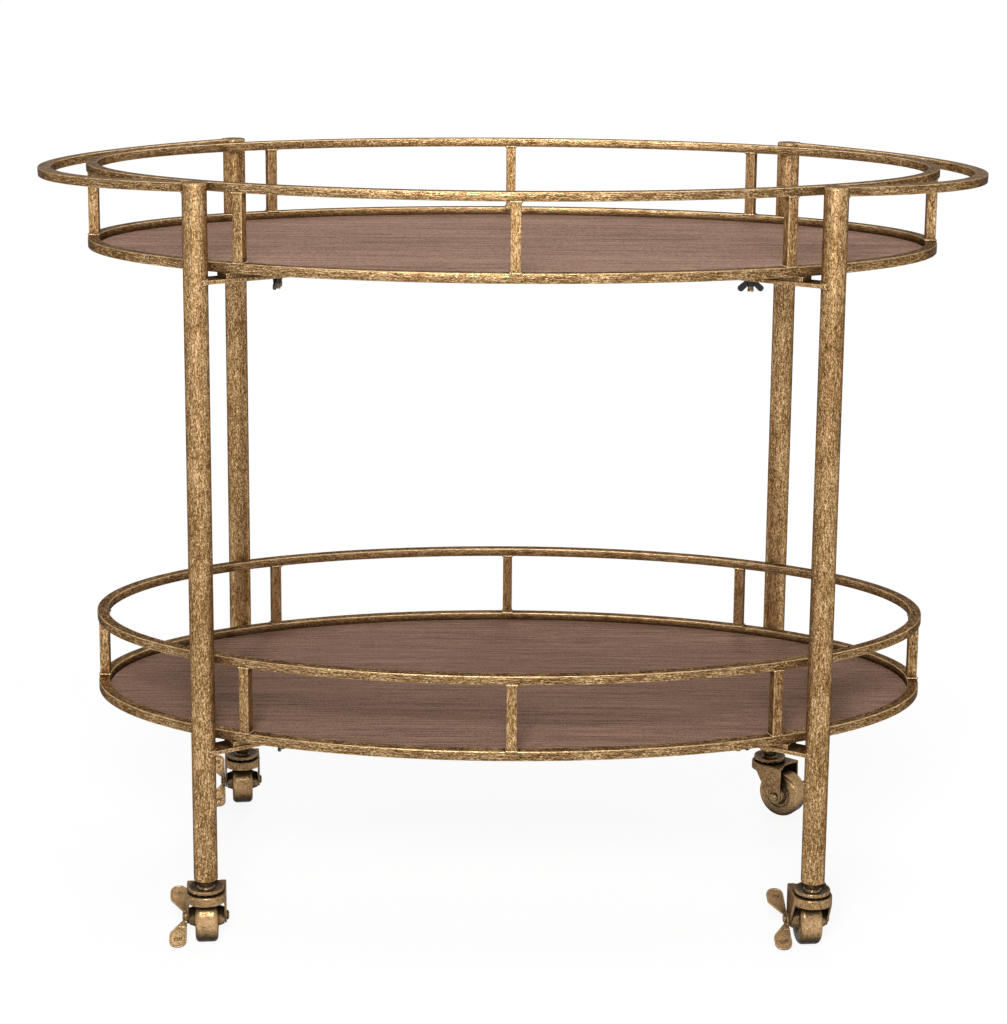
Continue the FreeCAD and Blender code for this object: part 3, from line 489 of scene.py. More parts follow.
def rubbed_material(name, place_of, stretch, colours, rub, own_edges=False):
    """A rubbed metal finish; place_of gives the pattern's coordinates, stretch its brush direction."""
    material, tree, shader = new_material(name)
    place = place_of(tree, stretch)
    # Rubbed edges, painted shade in hollows, and the softened normal
    wear_and_shade = use_group(tree, "edge_wear", {"Vector": place, "Radius": rub.edge_radius, "Hollow": rub.hollow,
                                         "Breakup": rub.speckle*EDGE_GAP_SCALE})
    worn = wear_and_shade["Wear"]
    # For the bars, painted highlights on the upper edges join the rubbed wear
    if own_edges:
        worn = math_node(tree, "MAXIMUM", worn, bar_wear_and_highlight(tree, place))
    inputs = {key: (*value, 1) for key, value in colours.items()}
    inputs.update({"Vector": place, "Wear": worn, "Dirt": wear_and_shade["Dirt"], "Speckle": rub.speckle,
                   "Contrast": rub.contrast, "Cast": rub.cast, "Streak": rub.streak,
                   "Roughness": rub.roughness})
    result = use_group(tree, "rubbed_metal", inputs)
    finish_shader(tree, shader, result, wear_and_shade["Normal"], rub.metallic, rub.bump, PAINT_RELIEF)
    shader.inputs["Specular IOR Level"].default_value = rub.gloss
    # Painted shade: the rim tint darkens reflections at grazing angles
    shader.inputs["Specular Tint"].default_value = (*rub.rim, 1)
    return material


def make_gold(name, place_of, stretch, tone=1.0, own_edges=False):
    finish = bpy.context.scene.cart_finish
    # A tone below 1 darkens the copy as a painted shade
    colours = {"Metal": finish.gold*tone, "Under": finish.umber*tone, "Worn": finish.pale,
               "Warm": finish.rose*tone, "Cool": finish.olive*tone}
    return rubbed_material(name, place_of, stretch, colours, GOLD_RUB, own_edges)


def make_bronze(name, metal):
    finish = bpy.context.scene.cart_finish
    colours = {"Metal": metal, "Under": finish.bronze_dark, "Worn": finish.bronze_edge,
               "Warm": finish.rose, "Cool": finish.olive}
    return rubbed_material(name, object_place, EVEN, colours, BRONZE_RUB)


def make_black():
    finish = bpy.context.scene.cart_finish
    colours = {"Metal": finish.black, "Under": finish.black, "Worn": finish.steel, "Warm": finish.black,
               "Cool": finish.black}
    return rubbed_material("blackened_nut", object_place, EVEN, colours, BLACK_RUB)


def make_steel():
    finish = bpy.context.scene.cart_finish
    colours = {"Metal": finish.steel, "Under": finish.umber, "Worn": finish.steel, "Warm": finish.steel,
               "Cool": finish.bronze_dark}
    return rubbed_material("plain_steel", object_place, EVEN, colours, STEEL_RUB)


def make_shelf_wood():
    finish = bpy.context.scene.cart_finish
    material, tree, shader = new_material("shelf_wood_grain")
    grain = use_group(tree, "shelf_grain", {
        "Vector": object_place(tree), "Light": (*finish.shelf_light, 1), "Dark": (*finish.shelf_dark, 1)})
    finish_shader(tree, shader, grain, None, 0.0, SHELF_BUMP, SHELF_RELIEF)
    shader.inputs["Specular IOR Level"].default_value = SHELF_GLOSS
    return material


def dress(node, material):
    """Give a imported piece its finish."""
    slots = frame["nodes"][node].data.materials
    slots.clear()
    slots.append(material)


def show(name, mesh, material, body):
    """A finished piece of the cart, riding on a body."""
    mesh.name = name
    mesh.materials.clear()
    mesh.materials.append(material)
    piece = bpy.data.objects.new(name, mesh)
    bpy.context.scene.collection.objects.link(piece)
    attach(piece, body)
    return piece


def grown(tree, base, values):
    """The plain mesh that a geometry tree grows on a base mesh, with its inputs set by name."""
    carrier = bpy.data.objects.new("carrier", base)
    bpy.context.scene.collection.objects.link(carrier)
    modifier = carrier.modifiers.new("grow", "NODES")
    modifier.node_group = tree
    for item in tree.interface.items_tree:
        if item.in_out == "INPUT" and item.name in values:
            modifier[item.identifier] = values[item.name]
    ready = carrier.evaluated_get(bpy.context.evaluated_depsgraph_get())
    mesh = bpy.data.meshes.new_from_object(ready)
    carrier.modifiers.clear()
    bpy.data.objects.remove(carrier)
    return mesh


def point_mesh(points):
    mesh = bpy.data.meshes.new("points")
    mesh.from_pydata([tuple(p) for p in points], [], [])
    return mesh


def end_tree(tree, out, geometry, material):
    """Close a geometry tree: realize its instances, set the material and link the result."""
    plain = add(tree, "GeometryNodeRealizeInstances", {"Geometry": geometry})
    painted = add(tree, "GeometryNodeSetMaterial", {"Geometry": plain.outputs[0], "Material": material})
    tree.links.new(painted.outputs[0], out.inputs[0])


# Steps round a bar's rounded edge
FILLET_STEPS = 3


def make_oval_bar_tree():
    """A rounded flat bar bent to an ellipse, or to an arc of one, level at its middle height."""
    tree, given, out = new_group("oval_bar", "GeometryNodeTree", [
        ("Geometry", GEOMETRY, None), ("Semi Length", FLOAT, 0.4),
        ("Semi Width", FLOAT, 0.2), ("Bar Width", FLOAT, 0.012),
        ("Bar Height", FLOAT, 0.01), ("Edge Radius", FLOAT, 0.001),
        ("Start", FLOAT, 0.0), ("Sweep", FLOAT, math.tau),
        ("Segments", "NodeSocketInt", 256), ("Capped", "NodeSocketBool", False),
        ("Material", MATERIAL, None),
    ], [("Geometry", GEOMETRY)])
    line = add(tree, "GeometryNodeCurvePrimitiveLine", {"Start": (0, 0, 0), "End": (1, 0, 0)})
    fine = add(tree, "GeometryNodeResampleCurve", {"Curve": line.outputs[0], "Count": given["Segments"]})
    section = add(tree, "GeometryNodeCurvePrimitiveQuadrilateral",
                  {"Width": given["Bar Width"], "Height": given["Bar Height"]})
    soft = add(tree, "GeometryNodeFilletCurve", {
        "Curve": section.outputs[0], "Radius": given["Edge Radius"], "Count": FILLET_STEPS,
        "Limit Radius": True}, mode="POLY")
    bar = add(tree, "GeometryNodeCurveToMesh", {
        "Curve": fine.outputs[0], "Profile Curve": soft.outputs[0], "Fill Caps": given["Capped"]})
    along, across, rise = add(tree, "ShaderNodeSeparateXYZ",
                              {0: add(tree, "GeometryNodeInputPosition").outputs[0]}).outputs
    swept = times(tree, along, given["Sweep"])
    mean = times(tree, plus(tree, given["Semi Length"], given["Semi Width"]), 0.5)
    spot = add(tree, "ShaderNodeCombineXYZ", {0: across, 1: rise, 2: times(tree, swept, mean)})
    half_width, half_height = (times(tree, given[name], 0.5) for name in ("Bar Width", "Bar Height"))
    nearness = add(tree, "ShaderNodeCombineXYZ", {
        0: math_node(tree, "DIVIDE", math_node(tree, "ABSOLUTE", across), half_width),
        1: math_node(tree, "DIVIDE", rise, half_height)})
    marked = bar
    for name, value in ((BAR_ATTRIBUTE, spot), (EDGE_ATTRIBUTE, nearness)):
        marked = add(tree, "GeometryNodeStoreNamedAttribute", {
            "Geometry": marked.outputs[0], "Name": name, "Value": value.outputs[0]},
            data_type="FLOAT_VECTOR", domain="CORNER")
    turn = plus(tree, given["Start"], swept)
    x = times(tree, plus(tree, given["Semi Length"], across), math_node(tree, "COSINE", turn))
    y = times(tree, plus(tree, given["Semi Width"], across), math_node(tree, "SINE", turn))
    place = add(tree, "ShaderNodeCombineXYZ", {0: x, 1: y, 2: rise})
    bent = add(tree, "GeometryNodeSetPosition", {
        "Geometry": marked.outputs[0], "Position": place.outputs[0]})
    outward = add(tree, "GeometryNodeFlipFaces", {"Mesh": bent.outputs[0]})
    closed = add(tree, "GeometryNodeMergeByDistance", {
        "Geometry": outward.outputs[0], "Distance": BAR_SEAM})
    end_tree(tree, out, closed.outputs[0], given["Material"])
    return tree


# Least and greatest scale of a weld's lumps
LEAST_LUMP = (0.8, 0.8, 0.8)
GREATEST_LUMP = (1.3, 1.3, 1.2)


def make_lump_tree():
    """Small uneven lumps of weld metal on every point of the base mesh."""
    tree, given, out = new_group("weld_lumps", "GeometryNodeTree", [
        ("Geometry", GEOMETRY, None), ("Radius", FLOAT, 0.001),
        ("Seed", "NodeSocketInt", 1), ("Material", MATERIAL, None),
    ], [("Geometry", GEOMETRY)])
    points = add(tree, "GeometryNodeMeshToPoints", {"Mesh": given["Geometry"]})
    lump = add(tree, "GeometryNodeMeshIcoSphere", {"Radius": given["Radius"], "Subdivisions": 2})
    smooth = add(tree, "GeometryNodeSetShadeSmooth", {"Geometry": lump.outputs[0]})
    scale = add(tree, "FunctionNodeRandomValue", {
        "Min": LEAST_LUMP, "Max": GREATEST_LUMP, "Seed": given["Seed"]}, data_type="FLOAT_VECTOR")
    turn = add(tree, "FunctionNodeRandomValue", {
        "Min": (0, 0, 0), "Max": (math.tau,)*3, "Seed": given["Seed"]}, data_type="FLOAT_VECTOR")
    beads = add(tree, "GeometryNodeInstanceOnPoints", {
        "Points": points.outputs[0], "Instance": smooth.outputs[0], "Rotation": turn.outputs[0],
        "Scale": scale.outputs[0]})
    end_tree(tree, out, beads.outputs[0], given["Material"])
    return tree


# Steps to a turn of a thread, and corners of its crest
THREAD_STEPS = 24
CREST_CORNERS = 5


def make_thread_tree():
    """A screw thread standing up from every point of the base mesh."""
    tree, given, out = new_group("stud_threads", "GeometryNodeTree", [
        ("Geometry", GEOMETRY, None), ("Stud Radius", FLOAT, 0.003),
        ("Thread Depth", FLOAT, 0.0004), ("Turns", FLOAT, 5.0),
        ("Length", FLOAT, 0.005), ("Material", MATERIAL, None),
    ], [("Geometry", GEOMETRY)])
    points = add(tree, "GeometryNodeMeshToPoints", {"Mesh": given["Geometry"]})
    helix = add(tree, "GeometryNodeCurveSpiral", {
        "Resolution": THREAD_STEPS, "Rotations": given["Turns"], "Start Radius": given["Stud Radius"],
        "End Radius": given["Stud Radius"], "Height": given["Length"]})
    crest = add(tree, "GeometryNodeCurvePrimitiveCircle", {
        "Resolution": CREST_CORNERS, "Radius": given["Thread Depth"]})
    ridge = add(tree, "GeometryNodeCurveToMesh", {
        "Curve": helix.outputs[0], "Profile Curve": crest.outputs[0], "Fill Caps": True})
    rows = add(tree, "GeometryNodeInstanceOnPoints", {
        "Points": points.outputs[0], "Instance": ridge.outputs[0]})
    end_tree(tree, out, rows.outputs[0], given["Material"])
    return tree


def finish_named(name):
    return bpy.data.materials[name]


def smooth_mesh(mesh, degrees):
    mesh.polygons.foreach_set("use_smooth", [True]*len(mesh.polygons))
    mesh.set_sharp_from_angle(angle=math.radians(degrees))


class CART_OT_finishes(bpy.types.Operator):
    """Make the cart's materials and the node groups that they share"""
    bl_idname = "bar_cart.finishes"
    bl_label = "Finishes"

    def execute(self, context):
        finish = context.scene.cart_finish
        make_edge_wear_and_shade_group()
        make_rubbed_metal_group()
        make_shelf_grain_group()
        make_gold("antique_gold_upright", object_place, BRUSHED)
        # The bars' copy: a painted shade over the gold and painted highlights on the upper edges
        make_gold("antique_gold_bar", bar_place, BRUSHED, BAR_PAINTED_SHADE, own_edges=True)
        make_gold("antique_gold_plain", object_place, EVEN)
        make_bronze("caster_bronze_plate", finish.bronze)
        # A brighter copy of the bronze, painted light on the wheels and levers
        make_bronze("rubbed_bronze_bright", finish.bronze_painted_lit)
        make_bronze("word_bronze_dark", finish.bronze_dark)
        make_black()
        make_steel()
        make_shelf_wood()
        return {"FINISHED"}


class CART_OT_oval_bars(bpy.types.Operator):
    """Bend the base rings and gallery rails of both trays"""
    bl_idname = "bar_cart.oval_bars"
    bl_label = "Rings and rails"

    def execute(self, context):
        sizes = context.scene.cart_sizes
        tree = make_oval_bar_tree()
        material = finish_named("antique_gold_bar")
        for tier in TIERS:
            for part in ("base_ring", "gallery_rail"):
                node = f"{tier}_{part}"
                low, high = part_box(node)
                half = (high - low)/2
                mesh = grown(tree, point_mesh([]), {
                    "Semi Length": half.x - sizes.bar_width/2, "Semi Width": half.y - sizes.bar_width/2,
                    "Bar Width": sizes.bar_width, "Bar Height": high.z - low.z,
                    "Edge Radius": sizes.bar_round, "Segments": sizes.bar_segments + 1,
                    "Material": material})
                mesh.transform(Matrix.Translation(middle((low, high))))
                smooth_mesh(mesh, BAR_SMOOTH_ANGLE)
                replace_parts(show(f"{node}_bar", mesh, material, FRAME_BODY), node)
        return {"FINISHED"}


class HandleShape:
    """Oval, tilt and ends of the handles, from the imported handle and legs."""

    def __init__(self, sizes):
        low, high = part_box("handle_right")
        self.leg = middle(LEG_BOXES["back_right"])
        self.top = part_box("leg_caps")[1].z
        self.semi_x = high.x - sizes.handle_width/2
        self.semi_y = self.leg.y/math.sqrt(1 - (self.leg.x/self.semi_x)**2)
        drop = self.top - sizes.handle_height - low.z
        self.tilt = math.atan2(drop, self.semi_x - self.leg.x)
        self.root = math.acos((self.leg.x + sizes.handle_root)/self.semi_x)
        self.leaves = math.atan2(-self.semi_y*self.leg.x/self.semi_x, self.semi_x*self.leg.y/self.semi_y)


class CART_OT_handles(bpy.types.Operator):
    """Bend the two push handles between their legs"""
    bl_idname = "bar_cart.handles"
    bl_label = "Handles"

    def execute(self, context):
        sizes = context.scene.cart_sizes
        tree = bpy.data.node_groups["oval_bar"]
        material = finish_named("antique_gold_bar")
        shape = HandleShape(sizes)
        hinge = (Matrix.Translation((shape.leg.x, 0, shape.top)) @ Matrix.Rotation(shape.tilt, 4, "Y")
                 @ Matrix.Translation((-shape.leg.x, 0, -sizes.handle_height/2)))
        for node, turn in (("handle_left", math.pi), ("handle_right", 0)):
            mesh = grown(tree, point_mesh([]), {
                "Semi Length": shape.semi_x, "Semi Width": shape.semi_y, "Bar Width": sizes.handle_width,
                "Bar Height": sizes.handle_height, "Edge Radius": sizes.bar_round, "Start": -shape.root,
                "Sweep": 2*shape.root, "Segments": sizes.bar_segments//2, "Capped": True,
                "Material": material})
            mesh.transform(Matrix.Rotation(turn, 4, "Z") @ hinge)
            smooth_mesh(mesh, BAR_SMOOTH_ANGLE)
            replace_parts(show(f"{node}_bar", mesh, material, FRAME_BODY), node)
        return {"FINISHED"}


class CART_OT_uprights(bpy.types.Operator):
    """Finish the legs, their caps and inserts, and the gallery posts"""
    bl_idname = "bar_cart.uprights"
    bl_label = "Legs and posts"

    def execute(self, context):
        upright = finish_named("antique_gold_upright")
        for corner in CORNERS:
            dress(f"leg_{corner}", upright)
        for tier in TIERS:
            dress(f"{tier}_balusters", upright)
        dress("leg_caps", finish_named("antique_gold_plain"))
        dress("leg_inserts", finish_named("plain_steel"))
        return {"FINISHED"}


class CART_OT_braces(bpy.types.Operator):
    """Finish the cross braces and the tray lugs"""
    bl_idname = "bar_cart.braces"
    bl_label = "Braces and lugs"

    def execute(self, context):
        plain = finish_named("antique_gold_plain")
        for tier in TIERS:
            for part in ("brace_bar", "brace_arms", "tray_lugs"):
                dress(f"{tier}_{part}", plain)
        return {"FINISHED"}


class CART_OT_shelves(bpy.types.Operator):
    """Finish the wood-grain shelf panels"""
    bl_idname = "bar_cart.shelves"
    bl_label = "Shelf panels"

    def execute(self, context):
        for tier in TIERS:
            dress(f"{tier}_shelf_panel", finish_named("shelf_wood_grain"))
        return {"FINISHED"}


# Steps round a turned piece
TURNED_STEPS = 40
# A peened axle head from its middle outwards: shares of the ring's radius and rise
PEEN_PROFILE = ((0, 1), (0.3, 0.8), (0.38, 0.1), (0.62, 0.1), (0.72, 1), (0.9, 1),
                (1, 0.1), (1, -1), (0, -1))


def turned_mesh(profile):
    """A piece turned about Z from (radius, height) points that start and end on the axis."""
    shape = bmesh.new()
    line = [shape.verts.new((radius, 0, height)) for radius, height in profile]
    edges = [shape.edges.new(pair) for pair in zip(line, line[1:])]
    bmesh.ops.spin(shape, geom=line + edges, cent=(0, 0, 0), axis=UP, angle=math.tau, steps=TURNED_STEPS)
    bmesh.ops.remove_doubles(shape, verts=shape.verts, dist=SEAM)
    bmesh.ops.recalc_face_normals(shape, faces=shape.faces)
    mesh = bpy.data.meshes.new("turned")
    shape.to_mesh(mesh)
    shape.free()
    return mesh


class CART_OT_casters(bpy.types.Operator):
    """Finish the forks, stems, axles, wheels and bearing balls, and peen the axle heads"""
    bl_idname = "bar_cart.casters"
    bl_label = "Casters"

    def execute(self, context):
        bronze = finish_named("caster_bronze_plate")
        for corner in CORNERS:
            for part in ("caster_stem", "fork", "axle"):
                dress(f"{corner}_{part}", bronze)
            dress(f"{corner}_wheel", finish_named("rubbed_bronze_bright"))
            dress(f"{corner}_bearing_balls", finish_named("plain_steel"))
            self.peen_axle(corner, context.scene.cart_sizes, bronze)
        return {"FINISHED"}

    def peen_axle(self, corner, sizes, bronze):
        """A raised ring and middle on both heads of an axle."""
        joint = JOINTS[f"{corner}_wheel_spin"]
        middle_point, axis = Vector(joint["pos_m"]), Vector(joint["axis"])
        reach = [(v.co - middle_point).dot(axis) for v in frame["nodes"][f"{corner}_axle"].data.vertices]
        profile = [(sizes.peen_radius*wide, sizes.peen_rise*high) for wide, high in PEEN_PROFILE]
        for side, end in (("far", min(reach)), ("near", max(reach))):
            mesh = turned_mesh(profile)
            turn = UP.rotation_difference(axis*math.copysign(1, end)).to_matrix().to_4x4()
            mesh.transform(Matrix.Translation(middle_point + axis*end) @ turn)
            smooth_mesh(mesh, PEEN_SMOOTH_ANGLE)
            show(f"{corner}_axle_peen_{side}", mesh, bronze, f"{corner}_caster")


class LeverFrame:
    """A brake lever's own axes at rest: out along the petals, along the axle, and up from the faces."""

    def __init__(self, corner):
        joint = JOINTS[f"{corner}_brake_rock"]
        self.origin = Vector(joint["pos_m"])
        self.axle = Vector(joint["axis"])
        tilt = math.radians(joint["range_deg"][1])/2
        level = self.axle.cross(UP)
        self.out = level*math.cos(tilt) + UP*math.sin(tilt)
        self.up = UP*math.cos(tilt) - level*math.sin(tilt)
        spots = [v.co - self.origin for v in frame["nodes"][f"{corner}_brake_lever"].data.vertices]
        self.reach = max(s.dot(self.out) for s in spots)
        ends = [s for s in spots if s.dot(self.out) > self.reach/2]
        self.inner = min(s.dot(self.axle) for s in ends)
        self.outer = max(s.dot(self.axle) for s in ends)
        self.face = max(s.dot(self.up) for s in ends)


# Thickening of a word's strokes as a share of its height
LETTER_WEIGHT = 0.02


def word_mesh(word, height, rise):
    """A raised word, flat in XY and centred on the origin."""
    curve = bpy.data.curves.new(word, "FONT")
    curve.body = word
    curve.align_x = "CENTER"
    curve.align_y = "CENTER"
    curve.size = height
    curve.extrude = rise/2
    curve.offset = LETTER_WEIGHT*height
    holder = bpy.data.objects.new(word, curve)
    bpy.context.scene.collection.objects.link(holder)
    ready = holder.evaluated_get(bpy.context.evaluated_depsgraph_get())
    mesh = bpy.data.meshes.new_from_object(ready)
    bpy.data.objects.remove(holder)
    mesh.transform(Matrix.Translation((0, 0, rise/2)))
    return mesh


class CART_OT_brake_levers(bpy.types.Operator):
    """Finish the brake levers and raise the words on their petals"""
    bl_idname = "bar_cart.brake_levers"
    bl_label = "Brake levers"

    def execute(self, context):
        sizes = context.scene.cart_sizes
        dark = finish_named("word_bronze_dark")
        for corner in CORNERS:
            dress(f"{corner}_brake_lever", finish_named("rubbed_bronze_bright"))
            lever = LeverFrame(corner)
            across = (lever.inner + lever.outer)/2
            for word, side in (("OFF", -1), ("ON", 1)):
                mesh = word_mesh(word, sizes.letter_height, sizes.letter_rise)
                head = -side*lever.out
                axes = Matrix((head.cross(lever.up), head, lever.up)).transposed().to_4x4()
                out = side*(lever.reach - (lever.outer - lever.inner)/2)
                spot = (lever.origin + lever.out*out + lever.axle*across
                        + lever.up*(lever.face - sizes.petal_dish))
                mesh.transform(Matrix.Translation(spot) @ axes)
                show(f"{corner}_{word.lower()}_word", mesh, dark, f"{corner}_brake")
        return {"FINISHED"}


# Height of the band at a stud's foot
FOOT_BAND = 0.1*MM


def stud_places(tier):
    """Foot of each stud: the lowest middle of each corner's lug."""
    vertices = [v.co for v in frame["nodes"][f"{tier}_tray_lugs"].data.vertices]
    low = min(v.z for v in vertices)
    feet = [v for v in vertices if v.z < low + FOOT_BAND]
    places = []
    for corner in CORNERS:
        leg = middle(LEG_BOXES[corner])
        own = [v for v in feet if v.x*leg.x > 0 and v.y*leg.y > 0]
        places.append(Vector((sum(v.x for v in own)/len(own), sum(v.y for v in own)/len(own), low)))
    return places


class CART_OT_wing_nuts(bpy.types.Operator):
    """Finish the wing nuts and cut the threads of the studs below them"""
    bl_idname = "bar_cart.wing_nuts"
    bl_label = "Wing nuts and studs"

    def execute(self, context):
        sizes = context.scene.cart_sizes
        tree = make_thread_tree()
        material = finish_named("antique_gold_plain")
        for tier in TIERS:
            dress(f"{tier}_wing_nuts", finish_named("blackened_nut"))
            feet = stud_places(tier)
            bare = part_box(f"{tier}_wing_nuts")[1].z - sizes.nut_height - feet[0].z
            mesh = grown(tree, point_mesh(feet), {
                "Stud Radius": sizes.stud_radius, "Thread Depth": sizes.thread_depth,
                "Turns": bare/sizes.stud_pitch, "Length": bare, "Material": material})
            show(f"{tier}_stud_threads", mesh, material, FRAME_BODY)
        return {"FINISHED"}


# Vertices nearer than this, seen from above, belong to one post
POST_APART = 30*MM
# Greatest share of a leg's half width that a brace's weld wraps
BRACE_WRAP = 0.98


def square_run(centre, turn, side, step):
    """Points round a square post's foot."""
    count = max(2, round(side/step))
    points = []
    for k in range(4):
        for i in range(count):
            spot = Vector((side/2, -side/2 + side*i/count, 0))
            points.append(centre + Matrix.Rotation(turn + k*math.pi/2, 3, "Z") @ spot)
    return points


def arc_run(centre, radius, towards, half, step):
    """Points on an arc about a leg, to either side of a direction."""
    count = max(2, round(2*half*radius/step))
    turns = [towards - half + 2*half*i/count for i in range(count + 1)]
    return [centre + Vector((radius*math.cos(a), radius*math.sin(a), 0)) for a in turns]


def post_places(tier):
    """Middle and turn of each gallery post, from its tray's oval and the posts' own vertices."""
    vertices = [v.co.copy() for v in frame["nodes"][f"{tier}_balusters"].data.vertices]
    low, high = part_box(f"{tier}_balusters")
    semi_x, semi_y = high.x, high.y
    groups = []
    for spot in vertices:
        near = next((g for g in groups if (g[0].xy - spot.xy).length < POST_APART), None)
        if near is None:
            groups.append([spot])
        else:
            near.append(spot)
    places = []
    for group in groups:
        centre = sum(group, Vector())/len(group)
        turn = math.atan2(centre.x/semi_x**2, -centre.y/semi_y**2)
        places.append((centre, turn))
    return places, low.z, high.z


class CART_OT_welds(bpy.types.Operator):
    """Run the small welds at the posts, braces and handles"""
    bl_idname = "bar_cart.welds"
    bl_label = "Welds"

    def execute(self, context):
        sizes = context.scene.cart_sizes
        tree = make_lump_tree()
        material = finish_named("antique_gold_plain")
        step = sizes.weld_step
        for seed, tier in enumerate(TIERS, start=1):
            points = []
            posts, foot, head = post_places(tier)
            for centre, turn in posts:
                for level in (foot, head):
                    points += square_run(Vector((*centre.xy, level)), turn, sizes.post_size, step)
            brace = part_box(f"{tier}_brace_bar")
            for corner in CORNERS:
                leg, radius = middle(LEG_BOXES[corner]), leg_radius(LEG_BOXES[corner])
                inwards = math.atan2(-leg.y, -leg.x)
                half = math.asin(min(BRACE_WRAP, sizes.brace_width/2/radius))
                for level in (brace[0].z, brace[1].z):
                    points += arc_run(Vector((*leg.xy, level)), radius, inwards, half, step)
            if tier == "upper":
                points += self.handle_runs(sizes)
            mesh = grown(tree, point_mesh(points), {"Radius": sizes.weld_radius, "Seed": seed,
                                                    "Material": material})
            show(f"{tier}_welds", mesh, material, FRAME_BODY)
        return {"FINISHED"}

    def handle_runs(self, sizes):
        """Arcs above and below each handle where it leaves its leg."""
        shape = HandleShape(sizes)
        points = []
        for box in LEG_BOXES.values():
            leg, radius = middle(box), leg_radius(box)
            towards = math.atan2(math.copysign(1, leg.y)*math.sin(shape.leaves),
                                 math.copysign(1, leg.x)*math.cos(shape.leaves))
            half = math.asin(sizes.handle_width/2/radius)
            top = shape.top - radius*math.tan(shape.tilt)
            for level in (top - sizes.weld_radius/2, top - sizes.handle_height):
                points += arc_run(Vector((*leg.xy, level)), radius, towards, half, sizes.weld_step)
        return points


# Diameter and place of each lamp
LAMPS = {
    "key": (0.9, (-0.2, -2.3, 1.5)),
    "fill": (0.9, (0.5, -2.2, 1.1)),
    "back": (0.9, (0.3, 2.3, 1.5)),
    "top": (1.8, (0.1, 0.2, 2.7)),
}


def place_lamp(name, size, power, place, aim):
    light = bpy.data.lights.new(name, "AREA")
    light.shape = "DISK"
    light.size = size
    light.energy = power
    lamp = bpy.data.objects.new(name, light)
    lamp.location = place
    lamp.visible_camera = False
    lamp.rotation_mode = "QUATERNION"
    lamp.rotation_quaternion = (Vector(aim) - Vector(place)).to_track_quat("-Z", "Y")
    bpy.context.scene.collection.objects.link(lamp)


def seen_directly(tree):
    """1 for rays from the camera, from gloss or through glass, else 0."""
    path = add(tree, "ShaderNodeLightPath").outputs
    seen = math_node(tree, "MAXIMUM", path["Is Camera Ray"], path["Is Glossy Ray"])
    return math_node(tree, "MAXIMUM", seen, path["Is Transmission Ray"])


FLOOR_RADIUS = 14.0
FLOOR_STEPS = 96
FLOOR_GREY = 0.42
# Glow of the floor where it is seen: its share, and its strength near the cart and far away
GLOW_SHARE = 0.6
GLOW_NEAR, GLOW_FAR = 0.9, 3.5
GLOW_STRENGTH = (1.50, 1.68)
WHITE = (1, 1, 1, 1)


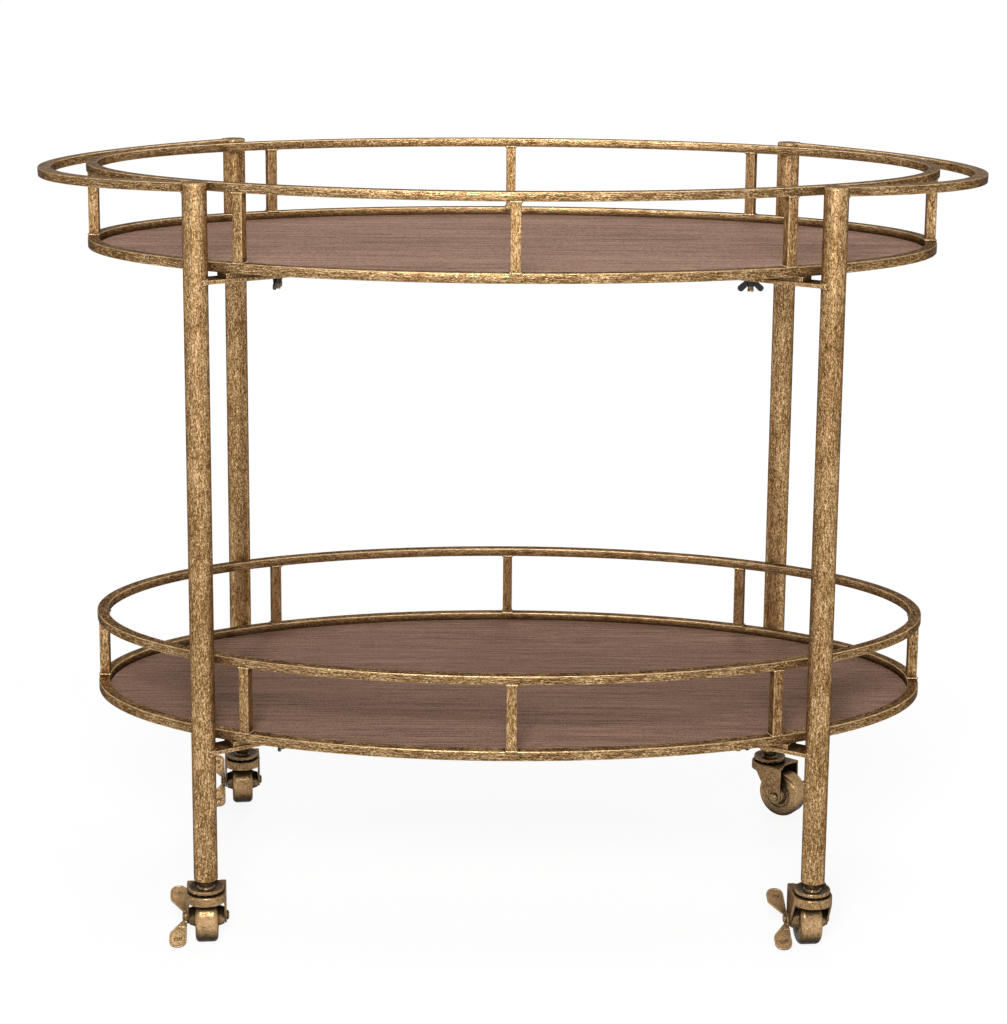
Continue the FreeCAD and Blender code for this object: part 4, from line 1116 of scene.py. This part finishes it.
class CART_OT_stage(bpy.types.Operator):
    """Set the pale floor, the soft light and the camera"""
    bl_idname = "bar_cart.stage"
    bl_label = "Stage"

    def execute(self, context):
        scene, stage = context.scene, context.scene.cart_stage
        scene.view_settings.view_transform = "Standard"
        self.make_world(scene, stage)
        self.make_floor()
        target = middle(CAD_BOX)
        for name, (size, place) in LAMPS.items():
            place_lamp(f"{name}_lamp", size, getattr(stage, name), place, target)
        bpy.data.objects["back_lamp"].visible_glossy = False
        self.make_camera(scene, stage)
        return {"FINISHED"}

    def make_world(self, scene, stage):
        world = bpy.data.worlds.new("white_room")
        scene.world = world
        world.use_nodes = True
        tree = world.node_tree
        tree.nodes.clear()
        strength = remap(tree, seen_directly(tree), 0, 1, stage.sky, 1.0)
        light = add(tree, "ShaderNodeBackground", {"Color": WHITE, "Strength": strength})
        add(tree, "ShaderNodeOutputWorld", {"Surface": light.outputs[0]})

    def make_floor(self):
        mesh = bpy.data.meshes.new("floor")
        shape = bmesh.new()
        bmesh.ops.create_circle(shape, cap_ends=True, segments=FLOOR_STEPS, radius=FLOOR_RADIUS)
        shape.to_mesh(mesh)
        shape.free()
        material = bpy.data.materials.new("pale_floor")
        material.use_nodes = True
        tree = material.node_tree
        tree.nodes.clear()
        matt = add(tree, "ShaderNodeBsdfDiffuse", {"Color": (*[FLOOR_GREY]*3, 1)})
        away = add(tree, "ShaderNodeVectorMath", {0: object_place(tree)}, operation="LENGTH")
        strength = remap(tree, away.outputs["Value"], GLOW_NEAR, GLOW_FAR, *GLOW_STRENGTH)
        white = add(tree, "ShaderNodeEmission", {"Color": WHITE, "Strength": strength})
        share = times(tree, seen_directly(tree), GLOW_SHARE)
        both = add(tree, "ShaderNodeMixShader", {0: share, 1: matt.outputs[0], 2: white.outputs[0]})
        add(tree, "ShaderNodeOutputMaterial", {"Surface": both.outputs[0]})
        mesh.materials.append(material)
        floor = bpy.data.objects.new("floor", mesh)
        bpy.context.scene.collection.objects.link(floor)

    def make_camera(self, scene, stage):
        data = bpy.data.cameras.new("camera")
        data.lens = stage.lens
        data.shift_y = stage.shift
        camera = bpy.data.objects.new("camera", data)
        scene.collection.objects.link(camera)
        turn = (Matrix.Rotation(-stage.camera_yaw, 4, "Z")
                @ Matrix.Rotation(math.pi/2 - stage.camera_pitch, 4, "X")
                @ Matrix.Rotation(stage.camera_roll, 4, "Z"))
        camera.matrix_world = Matrix.Translation(stage.camera_place) @ turn
        scene.camera = camera


OPERATORS = (CART_OT_finishes, CART_OT_oval_bars, CART_OT_handles, CART_OT_uprights, CART_OT_braces,
             CART_OT_shelves, CART_OT_casters, CART_OT_brake_levers, CART_OT_wing_nuts, CART_OT_welds,
             CART_OT_stage)


class CART_PT_sidebar(bpy.types.Panel):
    """The bar cart's steps, in order"""
    bl_idname = "CART_PT_sidebar"
    bl_label = "Bar Cart"
    bl_space_type = "VIEW_3D"
    bl_region_type = "UI"
    bl_category = "Bar Cart"

    def draw(self, context):
        for operator in OPERATORS:
            self.layout.operator(operator.bl_idname)


GROUPS = {"cart_sizes": CartSizes, "cart_finish": CartFinish, "cart_stage": CartStage}
CLASSES = (*GROUPS.values(), *OPERATORS, CART_PT_sidebar)


def register():
    for item in CLASSES:
        bpy.utils.register_class(item)
    for name, group in GROUPS.items():
        setattr(bpy.types.Scene, name, bpy.props.PointerProperty(type=group))


def unregister():
    for name in GROUPS:
        delattr(bpy.types.Scene, name)
    for item in reversed(CLASSES):
        bpy.utils.unregister_class(item)


def main():
    register()
    for operator in OPERATORS:
        area, name = operator.bl_idname.split(".")
        getattr(getattr(bpy.ops, area), name)()


if __name__ == "__main__":
    main()
